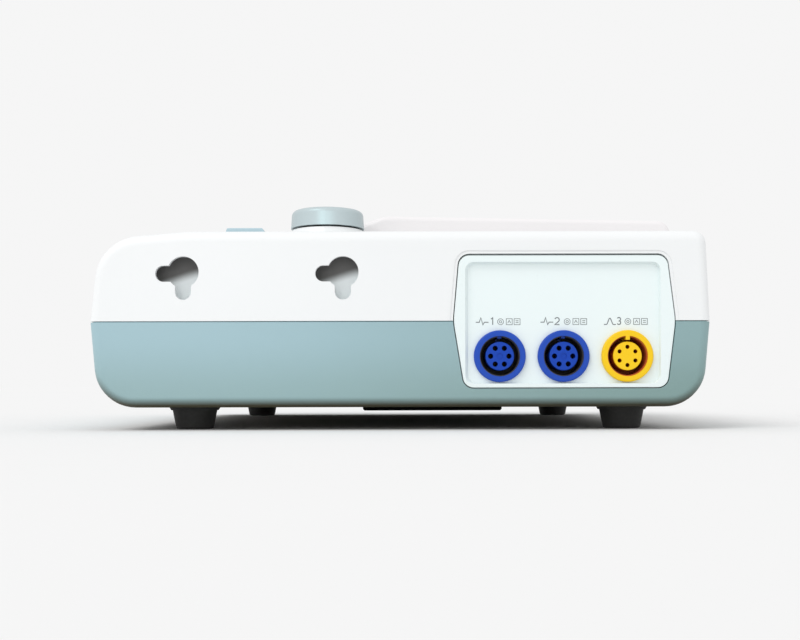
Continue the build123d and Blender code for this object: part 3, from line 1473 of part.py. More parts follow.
with BuildPart() as mains_rocker:
    rocker_half = rocker_height / 2 - rocker_frame - rocker_swing_gap
    rocker_side = rocker_width / 2 - rocker_frame - fit_gap
    with BuildSketch(Plane.YZ.offset(rocker_x)) as profile:
        with BuildLine():
            face = bay_floor + rocker_frame + rocker_proud
            drop = rocker_half * tan(radians(rocker_swing))
            face_half = rocker_half * rocker_face_share
            edge_half = rocker_half * rocker_edge_share
            Polyline((rocker_y - rocker_root, connector_z - rocker_half / 2),
                     (face - drop - rocker_proud, connector_z - edge_half),
                     (face - drop, connector_z - face_half),
                     (face - drop * rocker_dish_share, connector_z),
                     (face, connector_z + face_half),
                     (face - rocker_root, connector_z + edge_half),
                     (rocker_y - rocker_root, connector_z + rocker_half / 2), close=True)
        make_face()
    extrude(profile.sketch, amount=rocker_side, both=True)
    rod_x((rocker_x - rocker_side - fit_gap + seat_gap, rocker_x + rocker_side + fit_gap - seat_gap),
          rocker_y, connector_z, rocker_pin_radius)
mains_rocker.part.label = "mains_rocker"
export_step(mains_rocker.part, "parts/mains_rocker.step")

# Earth post
with BuildPart() as earth_post:
    rod_y(post_x, (plate_front - post_nut_thickness, bay_floor + post_reach), connector_z,
          post_radius)
    with BuildSketch(Plane.XZ.offset(-bay_floor)) as nut:
        with Locations((post_x, connector_z)):
            RegularPolygon(post_nut_radius, nut_sides)
    extrude(nut.sketch, amount=-post_nut_thickness)
earth_post.part.label = "earth_post"
export_step(earth_post.part, "parts/earth_post.step")

# Serial port: a metal flange with a D-shaped shell
with BuildPart() as serial_port:
    block((serial_x - serial_flange_width / 2, serial_x + serial_flange_width / 2),
          (bay_floor, bay_floor + serial_flange_thickness),
          (connector_z - serial_flange_height / 2, connector_z + serial_flange_height / 2))
    fillet(serial_port.edges().filter_by(Axis.Y), radius=serial_flange_round)
    with BuildSketch(Plane.XZ.offset(-bay_floor)) as shell:
        with Locations((serial_x, connector_z)):
            Trapezoid(serial_width, serial_height, serial_shell_angle, rotation=180)
        fillet(shell.vertices(), radius=serial_shell_round)
    extrude(shell.sketch, amount=-serial_reach)
    block((serial_x - serial_width / 2 + serial_body_inset,
           serial_x + serial_width / 2 - serial_body_inset),
          (plate_front - serial_body_depth, bay_floor),
          (connector_z - serial_height / 2 + serial_body_inset / 2,
           connector_z + serial_height / 2 - serial_body_inset / 2))
serial_port.part.label = "serial_port"
export_step(serial_port.part, "parts/serial_port.step")

# Network port
with BuildPart() as network_port:
    block((network_x - network_width / 2, network_x + network_width / 2),
          (bay_floor + port_proud - network_depth, bay_floor + port_proud),
          (connector_z - network_height / 2, connector_z + network_height / 2))
    block((network_x - network_mouth_width / 2, network_x + network_mouth_width / 2),
          (bay_floor + port_proud - network_mouth_depth, bay_floor + port_proud),
          (connector_z - network_mouth_height / 2, connector_z + network_mouth_height / 2),
          Mode.SUBTRACT)
network_port.part.label = "network_port"
export_step(network_port.part, "parts/network_port.step")

# Main board and what is soldered to it
with BuildPart() as main_board:
    main_board_top = main_board_height + board_thickness
    block(main_board_x, main_board_y, (main_board_height, main_board_top))
    for share_x, share_y, width, length, height in main_board_parts:
        x = main_board_x[0] + share_x * main_board_width
        y = main_board_y[0] + share_y * (main_board_y[1] - main_board_y[0])
        block((x - width / 2, x + width / 2), (y - length / 2, y + length / 2),
              (main_board_top, main_board_top + height))
main_board.part.label = "main_board"
export_step(main_board.part, "parts/main_board.step")

# Power board and what is soldered to it
with BuildPart() as power_board:
    power_board_top = power_board_height + board_thickness
    block(power_board_x, power_board_y, (power_board_height, power_board_top))
    power_middle = (power_board_y[0] + power_board_y[1]) / 2
    for share, radius, height in power_board_cans:
        x = power_board_x[0] + share * power_board_width
        rod_z(x, power_middle, (power_board_top, power_board_top + height), radius)
    x = power_board_x[0] + transformer_share * power_board_width
    block((x - transformer_width / 2, x + transformer_width / 2),
          (power_middle - transformer_length / 2, power_middle + transformer_length / 2),
          (power_board_top, power_board_top + transformer_height))
power_board.part.label = "power_board"
export_step(power_board.part, "parts/power_board.step")
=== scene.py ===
from math import atan2, cos, pi, radians, sin

import bmesh
import bpy
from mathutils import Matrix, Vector


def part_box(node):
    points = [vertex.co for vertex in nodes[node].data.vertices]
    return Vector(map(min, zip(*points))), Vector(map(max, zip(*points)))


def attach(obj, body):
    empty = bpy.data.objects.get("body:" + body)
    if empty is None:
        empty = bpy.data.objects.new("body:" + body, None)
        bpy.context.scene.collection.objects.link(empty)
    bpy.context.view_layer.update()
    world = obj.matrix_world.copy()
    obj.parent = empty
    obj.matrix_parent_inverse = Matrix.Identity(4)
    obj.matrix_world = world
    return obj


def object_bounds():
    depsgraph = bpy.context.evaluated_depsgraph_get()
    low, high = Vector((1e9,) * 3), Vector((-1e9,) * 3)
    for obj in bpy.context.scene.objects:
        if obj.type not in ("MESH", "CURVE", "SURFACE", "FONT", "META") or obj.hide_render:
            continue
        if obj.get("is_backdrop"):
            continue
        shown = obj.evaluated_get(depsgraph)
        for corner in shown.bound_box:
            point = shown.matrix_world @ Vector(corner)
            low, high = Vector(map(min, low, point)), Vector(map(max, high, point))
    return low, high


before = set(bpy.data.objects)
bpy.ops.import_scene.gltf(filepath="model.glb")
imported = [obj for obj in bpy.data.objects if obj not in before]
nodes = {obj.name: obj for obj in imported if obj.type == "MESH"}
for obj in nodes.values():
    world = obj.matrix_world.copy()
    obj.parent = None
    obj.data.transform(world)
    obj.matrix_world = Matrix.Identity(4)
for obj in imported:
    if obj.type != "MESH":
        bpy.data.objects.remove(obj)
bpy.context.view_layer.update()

scene = bpy.context.scene


# ---------------------------------------------------------------- materials
class Graph:
    """A material's node tree with short calls."""

    def __init__(self, name):
        self.material = bpy.data.materials.new(name)
        self.material.use_nodes = True
        self.tree = self.material.node_tree
        self.tree.nodes.clear()
        self.out = self.tree.nodes.new("ShaderNodeOutputMaterial")
        self.coords = None

    def node(self, kind, **values):
        """A new node, its values being sockets or else settings of the node."""
        made = self.tree.nodes.new(kind)
        for key, value in values.items():
            if key in made.inputs:
                made.inputs[key].default_value = value
            else:
                setattr(made, key, value)
        return made

    def link(self, start, end):
        self.tree.links.new(start, end)

    def place(self):
        """The place on the object."""
        if self.coords is None:
            self.coords = self.node("ShaderNodeTexCoord").outputs["Object"]
        return self.coords

    def axes(self, vector=None):
        """X, Y and Z of a vector, or else of the place on the object."""
        made = self.node("ShaderNodeSeparateXYZ")
        self.link(self.place() if vector is None else vector, made.inputs["Vector"])
        return made.outputs

    def facing(self):
        """X, Y and Z of the direction that the surface faces."""
        return self.axes(self.node("ShaderNodeNewGeometry").outputs["Normal"])

    def wear(self):
        """Near 1 on convex edges, 0.5 on flat faces."""
        return self.node("ShaderNodeNewGeometry").outputs["Pointiness"]

    def noise(self, scale, detail=3.0, stretch=None):
        made = self.node("ShaderNodeTexNoise", Scale=scale, Detail=detail, Roughness=0.55)
        if stretch:
            mapping = self.node("ShaderNodeMapping")
            mapping.inputs["Scale"].default_value = stretch
            self.link(self.place(), mapping.inputs["Vector"])
            self.link(mapping.outputs["Vector"], made.inputs["Vector"])
        else:
            self.link(self.place(), made.inputs["Vector"])
        return made.outputs["Fac"]

    def ramp(self, value, stops):
        """A colour by value, from pairs of a position and its colour."""
        made = self.node("ShaderNodeValToRGB")
        ramp = made.color_ramp
        while len(ramp.elements) < len(stops):
            ramp.elements.new(0.5)
        for element, (position, colour) in zip(ramp.elements, stops):
            element.position = position
            element.color = (*colour, 1.0)
        self.link(value, made.inputs["Fac"])
        return made.outputs["Color"]

    def math(self, operation, first, second=0.0):
        made = self.node("ShaderNodeMath", operation=operation)
        for socket, value in zip(made.inputs, (first, second)):
            if isinstance(value, (int, float)):
                socket.default_value = value
            else:
                self.link(value, socket)
        return made.outputs["Value"]

    def spread(self, value, low, high):
        """0 to 1 spread over low to high."""
        made = self.node("ShaderNodeMapRange")
        made.inputs["To Min"].default_value = low
        made.inputs["To Max"].default_value = high
        self.link(value, made.inputs["Value"])
        return made.outputs["Result"]

    def eased(self, value, start, end):
        """0 before start and 1 beyond end, eased at both."""
        made = self.node("ShaderNodeMapRange", interpolation_type="SMOOTHSTEP")
        made.inputs["From Min"].default_value = start
        made.inputs["From Max"].default_value = end
        self.link(value, made.inputs["Value"])
        return made.outputs["Result"]

    def mix(self, factor, first, second, blend="MIX"):
        made = self.node("ShaderNodeMix", data_type="RGBA", blend_type=blend)
        for socket, value in ((made.inputs[0], factor), (made.inputs[6], first),
                              (made.inputs[7], second)):
            if isinstance(value, tuple):
                socket.default_value = (*value, 1.0)
            elif isinstance(value, (int, float)):
                socket.default_value = value
            else:
                self.link(value, socket)
        return made.outputs[2]

    def bump(self, height, distance, strength):
        made = self.node("ShaderNodeBump", Strength=strength, Distance=distance)
        self.link(height, made.inputs["Height"])
        return made.outputs["Normal"]

    def surface(self, colour, roughness, normal=None, **sockets):
        """The finished material. Further sockets are constants of the shader."""
        shader = self.node("ShaderNodeBsdfPrincipled")
        if isinstance(colour, tuple):
            shader.inputs["Base Color"].default_value = (*colour, 1.0)
        else:
            self.link(colour, shader.inputs["Base Color"])
        if isinstance(roughness, float):
            shader.inputs["Roughness"].default_value = roughness
        else:
            self.link(roughness, shader.inputs["Roughness"])
        if normal is not None:
            self.link(normal, shader.inputs["Normal"])
        for name, value in sockets.items():
            shader.inputs[name.replace("_", " ")].default_value = value
        self.link(shader.outputs["BSDF"], self.out.inputs["Surface"])
        return self.material


def shade_of(colour, factor):
    return tuple(min(1.0, channel * factor) for channel in colour)


# Moulded plastic: the wear between which its colour changes, and the downward slope between which
# painted shade is mixed in
worn_from, worn_to, worn_gain = 0.52, 0.62, 1.12
down_from, down_to = 0.10, 0.80
flow_scale = 9.0
plastic_rough_spread = 0.06
no, full = (0.0, 0.0, 0.0), (1.0, 1.0, 1.0)


def moulded(name, colour, rough=0.42, grain=1900.0, depth=0.00002, mottle=0.03, under=None,
            edge=0.05, painted_shade_fades=(), **sockets):
    """Moulded plastic: spark-eroded grain, faint flow mottling, slightly rubbed edges.

    under, if given, is a colour of painted shade mixed in where the surface faces down. Each fade
    is a painted shade: an axis, a start and an end on it, and the colour that the plastic is
    multiplied by beyond the end.
    """
    g = Graph(name)
    flow = g.noise(flow_scale, 2.0)
    tone = g.ramp(flow, [(0.3, shade_of(colour, 1 - mottle)), (0.7, shade_of(colour, 1 + mottle))])
    rubbed = g.ramp(g.wear(), [(worn_from, no), (worn_to, full)])
    tone = g.mix(g.math("MULTIPLY", rubbed, edge * 4), tone, shade_of(colour, worn_gain))
    # Painted shade: where the surface faces down, its colour is mixed towards the under colour
    if under:
        down = g.math("MULTIPLY", g.facing()["Z"], -1.0)
        tone = g.mix(g.ramp(down, [(down_from, no), (down_to, full)]), tone, under)
    # Painted shade: beyond the end of each fade the colour is multiplied darker
    for axis, start, end, left in painted_shade_fades:
        tone = g.mix(g.eased(g.axes()[axis], start, end), tone, left, blend="MULTIPLY")
    roughness = g.spread(g.noise(grain / 4, 2.0), rough - plastic_rough_spread,
                         rough + plastic_rough_spread)
    return g.surface(tone, roughness, g.bump(g.noise(grain, 2.0), depth, 0.6), **sockets)


def rubber(name, colour):
    """Rubber: cloudy, rough and slightly dusty."""
    g = Graph(name)
    tone = g.ramp(g.noise(60.0, 4.0), [(0.3, shade_of(colour, 0.8)), (0.75, shade_of(colour, 1.5))])
    roughness = g.spread(g.noise(700.0), 0.6, 0.85)
    return g.surface(tone, roughness, g.bump(g.noise(1300.0, 4.0), 0.00005, 0.8), Sheen_Weight=0.1)


def metal(name, colour, rough=0.32, along=(1.0, 30.0, 30.0)):
    """Drawn or turned metal: streaks along one direction, dull spots."""
    g = Graph(name)
    streak = g.noise(120.0, 4.0, stretch=along)
    tone = g.ramp(streak, [(0.25, shade_of(colour, 0.86)), (0.75, shade_of(colour, 1.06))])
    roughness = g.spread(g.noise(90.0, 3.0), rough - 0.08, rough + 0.12)
    return g.surface(tone, roughness, g.bump(streak, 0.00001, 0.5), Metallic=1.0)


def circuit_board():
    """Circuit board: solder mask over faint copper runs, with a woven glass grain."""
    g = Graph("circuit_board")
    runs = g.node("ShaderNodeTexBrick", Scale=95.0)
    runs.inputs["Mortar Size"].default_value = 0.06
    runs.inputs["Color1"].default_value = (0.010, 0.085, 0.045, 1)
    runs.inputs["Color2"].default_value = (0.012, 0.100, 0.050, 1)
    runs.inputs["Mortar"].default_value = (0.030, 0.190, 0.085, 1)
    g.link(g.place(), runs.inputs["Vector"])
    weave = g.node("ShaderNodeTexChecker", Scale=1500.0)
    g.link(g.place(), weave.inputs["Vector"])
    tone = g.mix(g.noise(300.0), runs.outputs["Color"], (0.012, 0.085, 0.045))
    return g.surface(tone, g.spread(g.noise(200.0), 0.25, 0.4),
                     g.bump(weave.outputs["Fac"], 0.00001, 0.4), Coat_Weight=0.3)


def chart_paper():
    """Thermal paper: white stock with a faint printed grid of 5 mm squares, fibres."""
    g = Graph("chart_paper")
    squares_per_metre, line_share = 200.0, 0.05
    place = g.axes()
    lines = []
    for axis in ("X", "Y"):
        share = g.math("FRACT", g.math("MULTIPLY", place[axis], squares_per_metre))
        lines.append(g.math("LESS_THAN", share, line_share))
    printed = g.math("MULTIPLY", g.math("MAXIMUM", *lines),
                     g.math("GREATER_THAN", g.facing()["Z"], 0.5))
    tone = g.ramp(g.noise(900.0), [(0.3, (0.80, 0.79, 0.76)), (0.7, (0.87, 0.86, 0.83))])
    tone = g.mix(printed, tone, (0.75, 0.38, 0.33))
    leaves = g.noise(60.0, 2.0, stretch=(0.2, 0.2, 60.0))
    return g.surface(tone, 0.75, g.bump(leaves, 0.00012, 0.6))


def groove_shade_linings(border):
    """Linings of the sockets' grooves, coloured as painted shade: black before the border, brown in
    the yellow socket.
    """
    g = Graph("groove_shade_lining")
    beyond = g.math("GREATER_THAN", g.axes()["Y"], border)
    tone = g.mix(beyond, (0.060, 0.057, 0.060), (0.560, 0.115, 0.030))
    tone = g.mix(g.math("MULTIPLY", g.noise(400.0), 0.2), tone, (0.020, 0.014, 0.010))
    return g.surface(tone, g.spread(g.noise(900.0), 0.50, 0.62), Specular_IOR_Level=0.2)


def painted_well_shade(name, middle):
    """Lining of a hanging hole, a sheet of painted shade and light: near black above and forwards
    as painted shade, pale as painted light where light falls in.
    """
    g = Graph(name)
    shade_z, shade_slope = 0.0750, 0.32
    shade_from, shade_to = -0.0010, 0.0046
    place = g.axes()
    lower = g.math("SUBTRACT", shade_z, place["Z"])
    behind = g.math("MULTIPLY", g.math("SUBTRACT", place["Y"], middle), shade_slope)
    share = g.eased(g.math("ADD", lower, behind), shade_from, shade_to)
    # Painted shade above and forwards, painted light lower down and further back
    tone = g.mix(share, (0.150, 0.148, 0.145), (0.93, 0.98, 0.99))
    return g.surface(tone, g.spread(g.noise(600.0), 0.5, 0.62), Specular_IOR_Level=0.2)


def screen_face():
    """A display that is off: near black with a faint pixel grid under a clear face."""
    g = Graph("lcd_face")
    cells = g.node("ShaderNodeTexChecker", Scale=1600.0)
    g.link(g.place(), cells.inputs["Vector"])
    tone = g.mix(cells.outputs["Fac"], (0.012, 0.014, 0.018), (0.018, 0.021, 0.026))
    return g.surface(tone, g.spread(g.noise(40.0), 0.10, 0.16), Specular_IOR_Level=0.6)


def cover_glass():
    """Tinted cover glass with faint wiping marks."""
    g = Graph("cover_glass")
    smear = g.noise(14.0, 5.0, stretch=(1.0, 3.0, 1.0))
    roughness = g.spread(smear, 0.03, 0.12)
    return g.surface((0.05, 0.06, 0.065), roughness, IOR=1.5, Transmission_Weight=0.45,
                     Coat_Weight=0.6)


shell = dict(rough=0.36, mottle=0.008, edge=0.02, Specular_IOR_Level=0.35)
socket_grain = 2500.0
print_finish = dict(rough=0.5, grain=800.0)
# Depths between which painted shade darkens the yellow core's sides
core_front, core_shade = 0.1466, 0.1454
last_blue_socket = 0.092

white = moulded("white_shell", (0.83, 0.845, 0.85), **shell)
panel_white = moulded("panel_white", (0.80, 0.88, 0.88), rough=0.30, mottle=0.006, edge=0.02,
                      Specular_IOR_Level=0.35)
display_white = moulded("display_white", (0.822, 0.802, 0.808), **shell)
# Painted shade on the lower shell: dark where it faces down, darker towards the rear (+Y) and
# darker towards the bottom
lower_grey = moulded("grey_blue_shell", (0.345, 0.500, 0.550), rough=0.38, mottle=0.02,
                     under=(0.062, 0.056, 0.030),
                     painted_shade_fades=(("Y", -0.10, 0.15, (0.73, 0.76, 0.71)),
                            ("Z", 0.046, 0.014, (0.84, 0.85, 0.80))),
                     Specular_IOR_Level=0.30)
cap_grey = moulded("cap_grey", (0.385, 0.435, 0.450), rough=0.34, mottle=0.02,
                   Specular_IOR_Level=0.9, Specular_Tint=(0.62, 0.97, 1.0, 1.0))
key_grey = moulded("key_grey", (0.417, 0.560, 0.620), rough=0.36, mottle=0.02,
                   Specular_IOR_Level=0.3)
blue = moulded("socket_blue", (0.010, 0.066, 0.440), rough=0.40, mottle=0.04,
               grain=socket_grain, Specular_IOR_Level=0.30)
core_blue = moulded("core_blue", (0.004, 0.052, 0.410), rough=0.42, mottle=0.04,
                    grain=socket_grain, Specular_IOR_Level=0.22)
yellow = moulded("socket_yellow", (0.900, 0.575, 0.006), rough=0.40, mottle=0.03,
                 grain=socket_grain, Specular_IOR_Level=0.30)
# Painted shade: the yellow core is multiplied to dark brown deeper than its front face
core_yellow = moulded("core_yellow", (0.900, 0.575, 0.006), rough=0.42, mottle=0.03,
                      grain=socket_grain, Specular_IOR_Level=0.30,
                      painted_shade_fades=(("X", core_front, core_shade, (0.60, 0.17, 1.0)),))
dark = moulded("dark_plastic", (0.020, 0.020, 0.021), rough=0.42, mottle=0.10, grain=1500.0)
cover_black = moulded("cover_black", (0.006, 0.006, 0.006), rough=0.8, mottle=0.10,
                      Specular_IOR_Level=0.06)
lens_green = moulded("indicator_lens", (0.30, 0.62, 0.38), rough=0.22, mottle=0.02,
                     Transmission_Weight=0.25)
gear_white = moulded("gear_plastic", (0.72, 0.71, 0.64), rough=0.42, mottle=0.02)
wrap_blue = moulded("battery_wrap", (0.018, 0.055, 0.210), rough=0.22, grain=260.0,
                    depth=0.0001, Coat_Weight=0.4)
head_ceramic = moulded("head_ceramic", (0.62, 0.58, 0.50), rough=0.18, mottle=0.03)
foot_rubber = rubber("foot_rubber", (0.014, 0.014, 0.013))
roller_rubber = rubber("roller_rubber", (0.030, 0.030, 0.032))
steel = metal("steel", (0.62, 0.63, 0.65))
screw_zinc = metal("screw_zinc", (0.66, 0.67, 0.68), rough=0.28, along=(8.0, 8.0, 1.0))
aluminium = metal("aluminium", (0.74, 0.75, 0.77), rough=0.42, along=(1.0, 20.0, 20.0))
brass = metal("brass", (0.78, 0.58, 0.26), rough=0.28)
# Painted shade: the socket contacts are coloured near black so the deep holes read dark
contact_metal_painted_shade = metal("contact_metal_painted_shade", (0.055, 0.042, 0.030), rough=0.5)
gold = metal("gold_contact", (0.86, 0.62, 0.24), rough=0.22)
print_grey = moulded("print_grey", (0.170, 0.190, 0.200), **print_finish)
print_dark = moulded("print_dark", (0.060, 0.070, 0.080), **print_finish)
print_white = moulded("print_white", (0.78, 0.78, 0.78), **print_finish)
circuit = circuit_board()
paper = chart_paper()
groove_shade_lining = groove_shade_linings(last_blue_socket)
lcd = screen_face()
glass = cover_glass()

finishes = {
    white: ["top_shell", "recorder_door"],
    display_white: ["display_back", "display_bezel"],
    panel_white: ["socket_panel"],
    lower_grey: ["bottom_shell"],
    cap_grey: ["knob", "release_button"],
    key_grey: ["key_1", "key_2", "key_3", "key_4"],
    blue: ["socket_ring_1", "socket_ring_2"],
    core_blue: ["socket_core_1", "socket_core_2"],
    yellow: ["socket_ring_3"],
    core_yellow: ["socket_core_3"],
    groove_shade_lining: ["socket_liners"],
    contact_metal_painted_shade: ["socket_contacts"],
    aluminium: ["socket_nuts", "head_heat_sink", "rear_plate"],
    foot_rubber: ["feet"],
    screw_zinc: ["foot_screws", "case_screws", "battery_cover_screws"],
    cover_black: ["battery_cover"],
    dark: ["paper_tray", "loudspeaker", "mains_inlet", "switch_frame", "mains_rocker"],
    wrap_blue: ["battery_pack"],
    steel: ["encoder_body", "encoder_shaft", "display_hinge_pins", "door_hinge_pins", "tear_bar",
            "platen_shaft", "idler_pin", "motor_shaft", "stepper_motor", "recorder_plates",
            "serial_port", "network_port"],
    circuit: ["key_board", "main_board", "power_board"],
    lens_green: ["indicator_lenses"],
    glass: ["display_glass"],
    lcd: ["lcd_module"],
    roller_rubber: ["platen_sleeve"],
    gear_white: ["platen_gear", "idler_gear"],
    brass: ["motor_pinion", "inlet_blades", "earth_post"],
    head_ceramic: ["print_head"],
    paper: ["paper_pack"],
}
for material, names in finishes.items():
    for name in names:
        for slot in nodes[name].material_slots:
            slot.material = material


# ---------------------------------------------------------------- world and floor
def studio_world(as_light, as_seen):
    """An even white world, of one strength as light and of another where it is seen."""
    world = bpy.data.worlds.new("studio")
    scene.world = world
    world.use_nodes = True
    tree = world.node_tree
    tree.nodes.clear()
    rays = tree.nodes.new("ShaderNodeLightPath")
    seen = rays.outputs["Is Camera Ray"]
    for kind in ("Is Glossy Ray", "Is Transmission Ray"):
        either = tree.nodes.new("ShaderNodeMath")
        either.operation = "MAXIMUM"
        tree.links.new(seen, either.inputs[0])
        tree.links.new(rays.outputs[kind], either.inputs[1])
        seen = either.outputs["Value"]
    blend = tree.nodes.new("ShaderNodeMixShader")
    tree.links.new(seen, blend.inputs[0])
    for shader_socket, strength in ((1, as_light), (2, as_seen)):
        light = tree.nodes.new("ShaderNodeBackground")
        light.inputs["Strength"].default_value = strength
        light.inputs["Color"].default_value = (1.0, 1.0, 1.0, 1.0)
        tree.links.new(light.outputs["Background"], blend.inputs[shader_socket])
    out = tree.nodes.new("ShaderNodeOutputWorld")
    tree.links.new(blend.outputs["Shader"], out.inputs["Surface"])


def floor_sheet(radius, greys):
    """A round pale floor, mottled between two greys."""
    mesh = bpy.data.meshes.new("floor")
    form = bmesh.new()
    bmesh.ops.create_circle(form, cap_ends=True, radius=radius, segments=96)
    form.to_mesh(mesh)
    form.free()
    made = bpy.data.objects.new("floor", mesh)
    scene.collection.objects.link(made)
    g = Graph("floor_pale")
    tone = g.ramp(g.noise(3.0, 4.0), [(at, (grey,) * 3) for at, grey in zip((0.3, 0.7), greys)])
    shader = g.node("ShaderNodeBsdfDiffuse")
    g.link(tone, shader.inputs["Color"])
    g.link(shader.outputs["BSDF"], g.out.inputs["Surface"])
    mesh.materials.append(g.material)
    made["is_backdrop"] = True
    return made


studio_world(0.85, 0.92)
floor = floor_sheet(30.0, (0.863, 0.869))


# ---------------------------------------------------------------- lamps
def lamp_at(lamp, toward, place=(0.0, 0.0, 0.0)):
    """Sets a lamp in the scene at a place, shining along a direction."""
    made = bpy.data.objects.new(lamp.name, lamp)
    scene.collection.objects.link(made)
    made.location = place
    made.rotation_mode = "QUATERNION"
    made.rotation_quaternion = Vector(toward).to_track_quat("-Z", "Y")
    return made


def sun(name, strength, toward, angle):
    lamp = bpy.data.lights.new(name, "SUN")
    lamp.energy = strength
    lamp.angle = radians(angle)
    lamp_at(lamp, toward)


def softbox(name, place, aim, width, height, power):
    """A rectangular lamp at a place, aimed at a point of the object."""
    lamp = bpy.data.lights.new(name, "AREA")
    lamp.shape = "RECTANGLE"
    lamp.size = width
    lamp.size_y = height
    lamp.energy = power
    return lamp_at(lamp, Vector(aim) - Vector(place), place)


def light_group(lamp, name, member, state="INCLUDE"):
    """Lets a lamp light one member alone, or with EXCLUDE everything but that member."""
    group = bpy.data.collections.new(name)
    group.objects.link(member)
    group.collection_objects[0].light_linking.link_state = state
    lamp.light_linking.receiver_collection = group


sun("key_light", 0.87, (-0.45, 0.45, -0.77), 30.0)
strip_light = softbox("strip_light", (1.15, -0.30, 0.50), (0.11, -0.04, 0.10), 0.16, 0.8, 1.4)
light_group(strip_light, "unlit_by_strip_light", floor, "EXCLUDE")
knob_light = softbox("knob_light", (0.95, -0.08, 0.22), (0.114, -0.036, 0.104), 0.70, 0.26, 2.6)
light_group(knob_light, "lit_by_knob_light", nodes["knob"])

# ---------------------------------------------------------------- camera
# The camera stands low beside the right side. Its focal length and shift are in pixels.
sensor_width = 36.0
image_width = 800.0
focal_length = 1066.0
shift_right, shift_up = -8.1, 67.0
eye = (0.6482, 0.00236, 0.0203)
roll, turn = 0.125, -0.144

camera_data = bpy.data.cameras.new("camera")
camera = bpy.data.objects.new("camera", camera_data)
scene.collection.objects.link(camera)
scene.camera = camera
camera_data.sensor_width = sensor_width
camera_data.lens = sensor_width * focal_length / image_width
camera_data.shift_x = shift_right / image_width
camera_data.shift_y = shift_up / image_width
camera_data.clip_start = 0.01
camera.location = eye
camera.rotation_euler = (radians(90.0), radians(roll), radians(90.0 + turn))
scene.view_settings.view_transform = "Standard"
scene.view_settings.look = "None"


# ---------------------------------------------------------------- makers of fine pieces
def piece(name, form, material, body):
    """Turns a form into a visible piece that rides on a body."""
    mesh = bpy.data.meshes.new(name)
    form.to_mesh(mesh)
    form.free()
    mesh.materials.append(material)
    made = bpy.data.objects.new(name, mesh)
    scene.collection.objects.link(made)
    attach(made, body)


def bridge(form, one, two):
    """Faces between two rings of points."""
    for index in range(len(one)):
        after = (index + 1) % len(one)
        form.faces.new((one[index], one[after], two[after], two[index]))


def ribbon(form, points, width, place, closed=False, thick=0.00006):
    """A printed line: a thin band of even width along flat points, set in space by place."""
    count = len(points)
    flats = [Vector(p) for p in points]
    sharpest_corner = 0.5
    rings = []
    for index, point in enumerate(flats):
        first = second = None
        if closed or index:
            first = (point - flats[index - 1]).normalized()
        if closed or index < count - 1:
            second = (flats[(index + 1) % count] - point).normalized()
        first = first or second
        second = second or first
        normal = Vector((-(first.y + second.y), first.x + second.x))
        normal.normalize()
        across = normal.dot(Vector((-first.y, first.x)))
        reach = normal * width / 2 / max(sharpest_corner, across)
        left, right = point + reach, point - reach
        rings.append([form.verts.new(place(p.x, p.y, height)) for p, height in
                      ((left, 0.0), (left, thick), (right, thick), (right, 0.0))])
    for index in range(count if closed else count - 1):
        bridge(form, rings[index], rings[(index + 1) % count])
    if not closed:
        form.faces.new(rings[0])
        form.faces.new(list(reversed(rings[-1])))


def arc(x, y, radius, start, end, steps=10):
    """Points on an arc, from one angle in degrees to another."""
    angles = [radians(start + (end - start) * step / steps) for step in range(steps + 1)]
    return [(x + radius * cos(angle), y + radius * sin(angle)) for angle in angles]


def middle_of(name):
    low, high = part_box(name)
    return (low + high) / 2


# ---------------------------------------------------------------- rows of marks over the sockets
digits = {
    1: [[(0.25, 0.78), (0.5, 1.0), (0.5, 0.0)]],
    2: [arc(0.35, 0.68, 0.32, 160, -35, 12) + [(0.03, 0.0), (0.70, 0.0)]],
    3: [arc(0.33, 0.75, 0.25, 150, -80, 12) + arc(0.33, 0.26, 0.26, 75, -150, 12)],
}
pulse = [(0.0, 0.35), (0.28, 0.35), (0.40, 1.0), (0.56, 0.0), (0.68, 0.35), (1.0, 0.35)]
hump_steps = 24
hump_height = 0.9
hump_start, hump_width = 0.2, 0.6


def hump_point(share):
    """A point of a trace that rises and falls once, between two level ends."""
    along = min(1.0, max(0.0, (share - hump_start) / hump_width))
    return share, hump_height * (0.5 - 0.5 * cos(2 * pi * along))


hump = [hump_point(step / hump_steps) for step in range(hump_steps + 1)]

dish_x = 0.1454
row_z = 0.0496
digit_width, digit_height = 0.0032, 0.0033
mark_side = 0.0028
arrow_mark_step, bar_mark_step = 0.0041, 0.0078
trace_line, digit_line, mark_line, sign_line = 0.00042, 0.00048, 0.00026, 0.00030
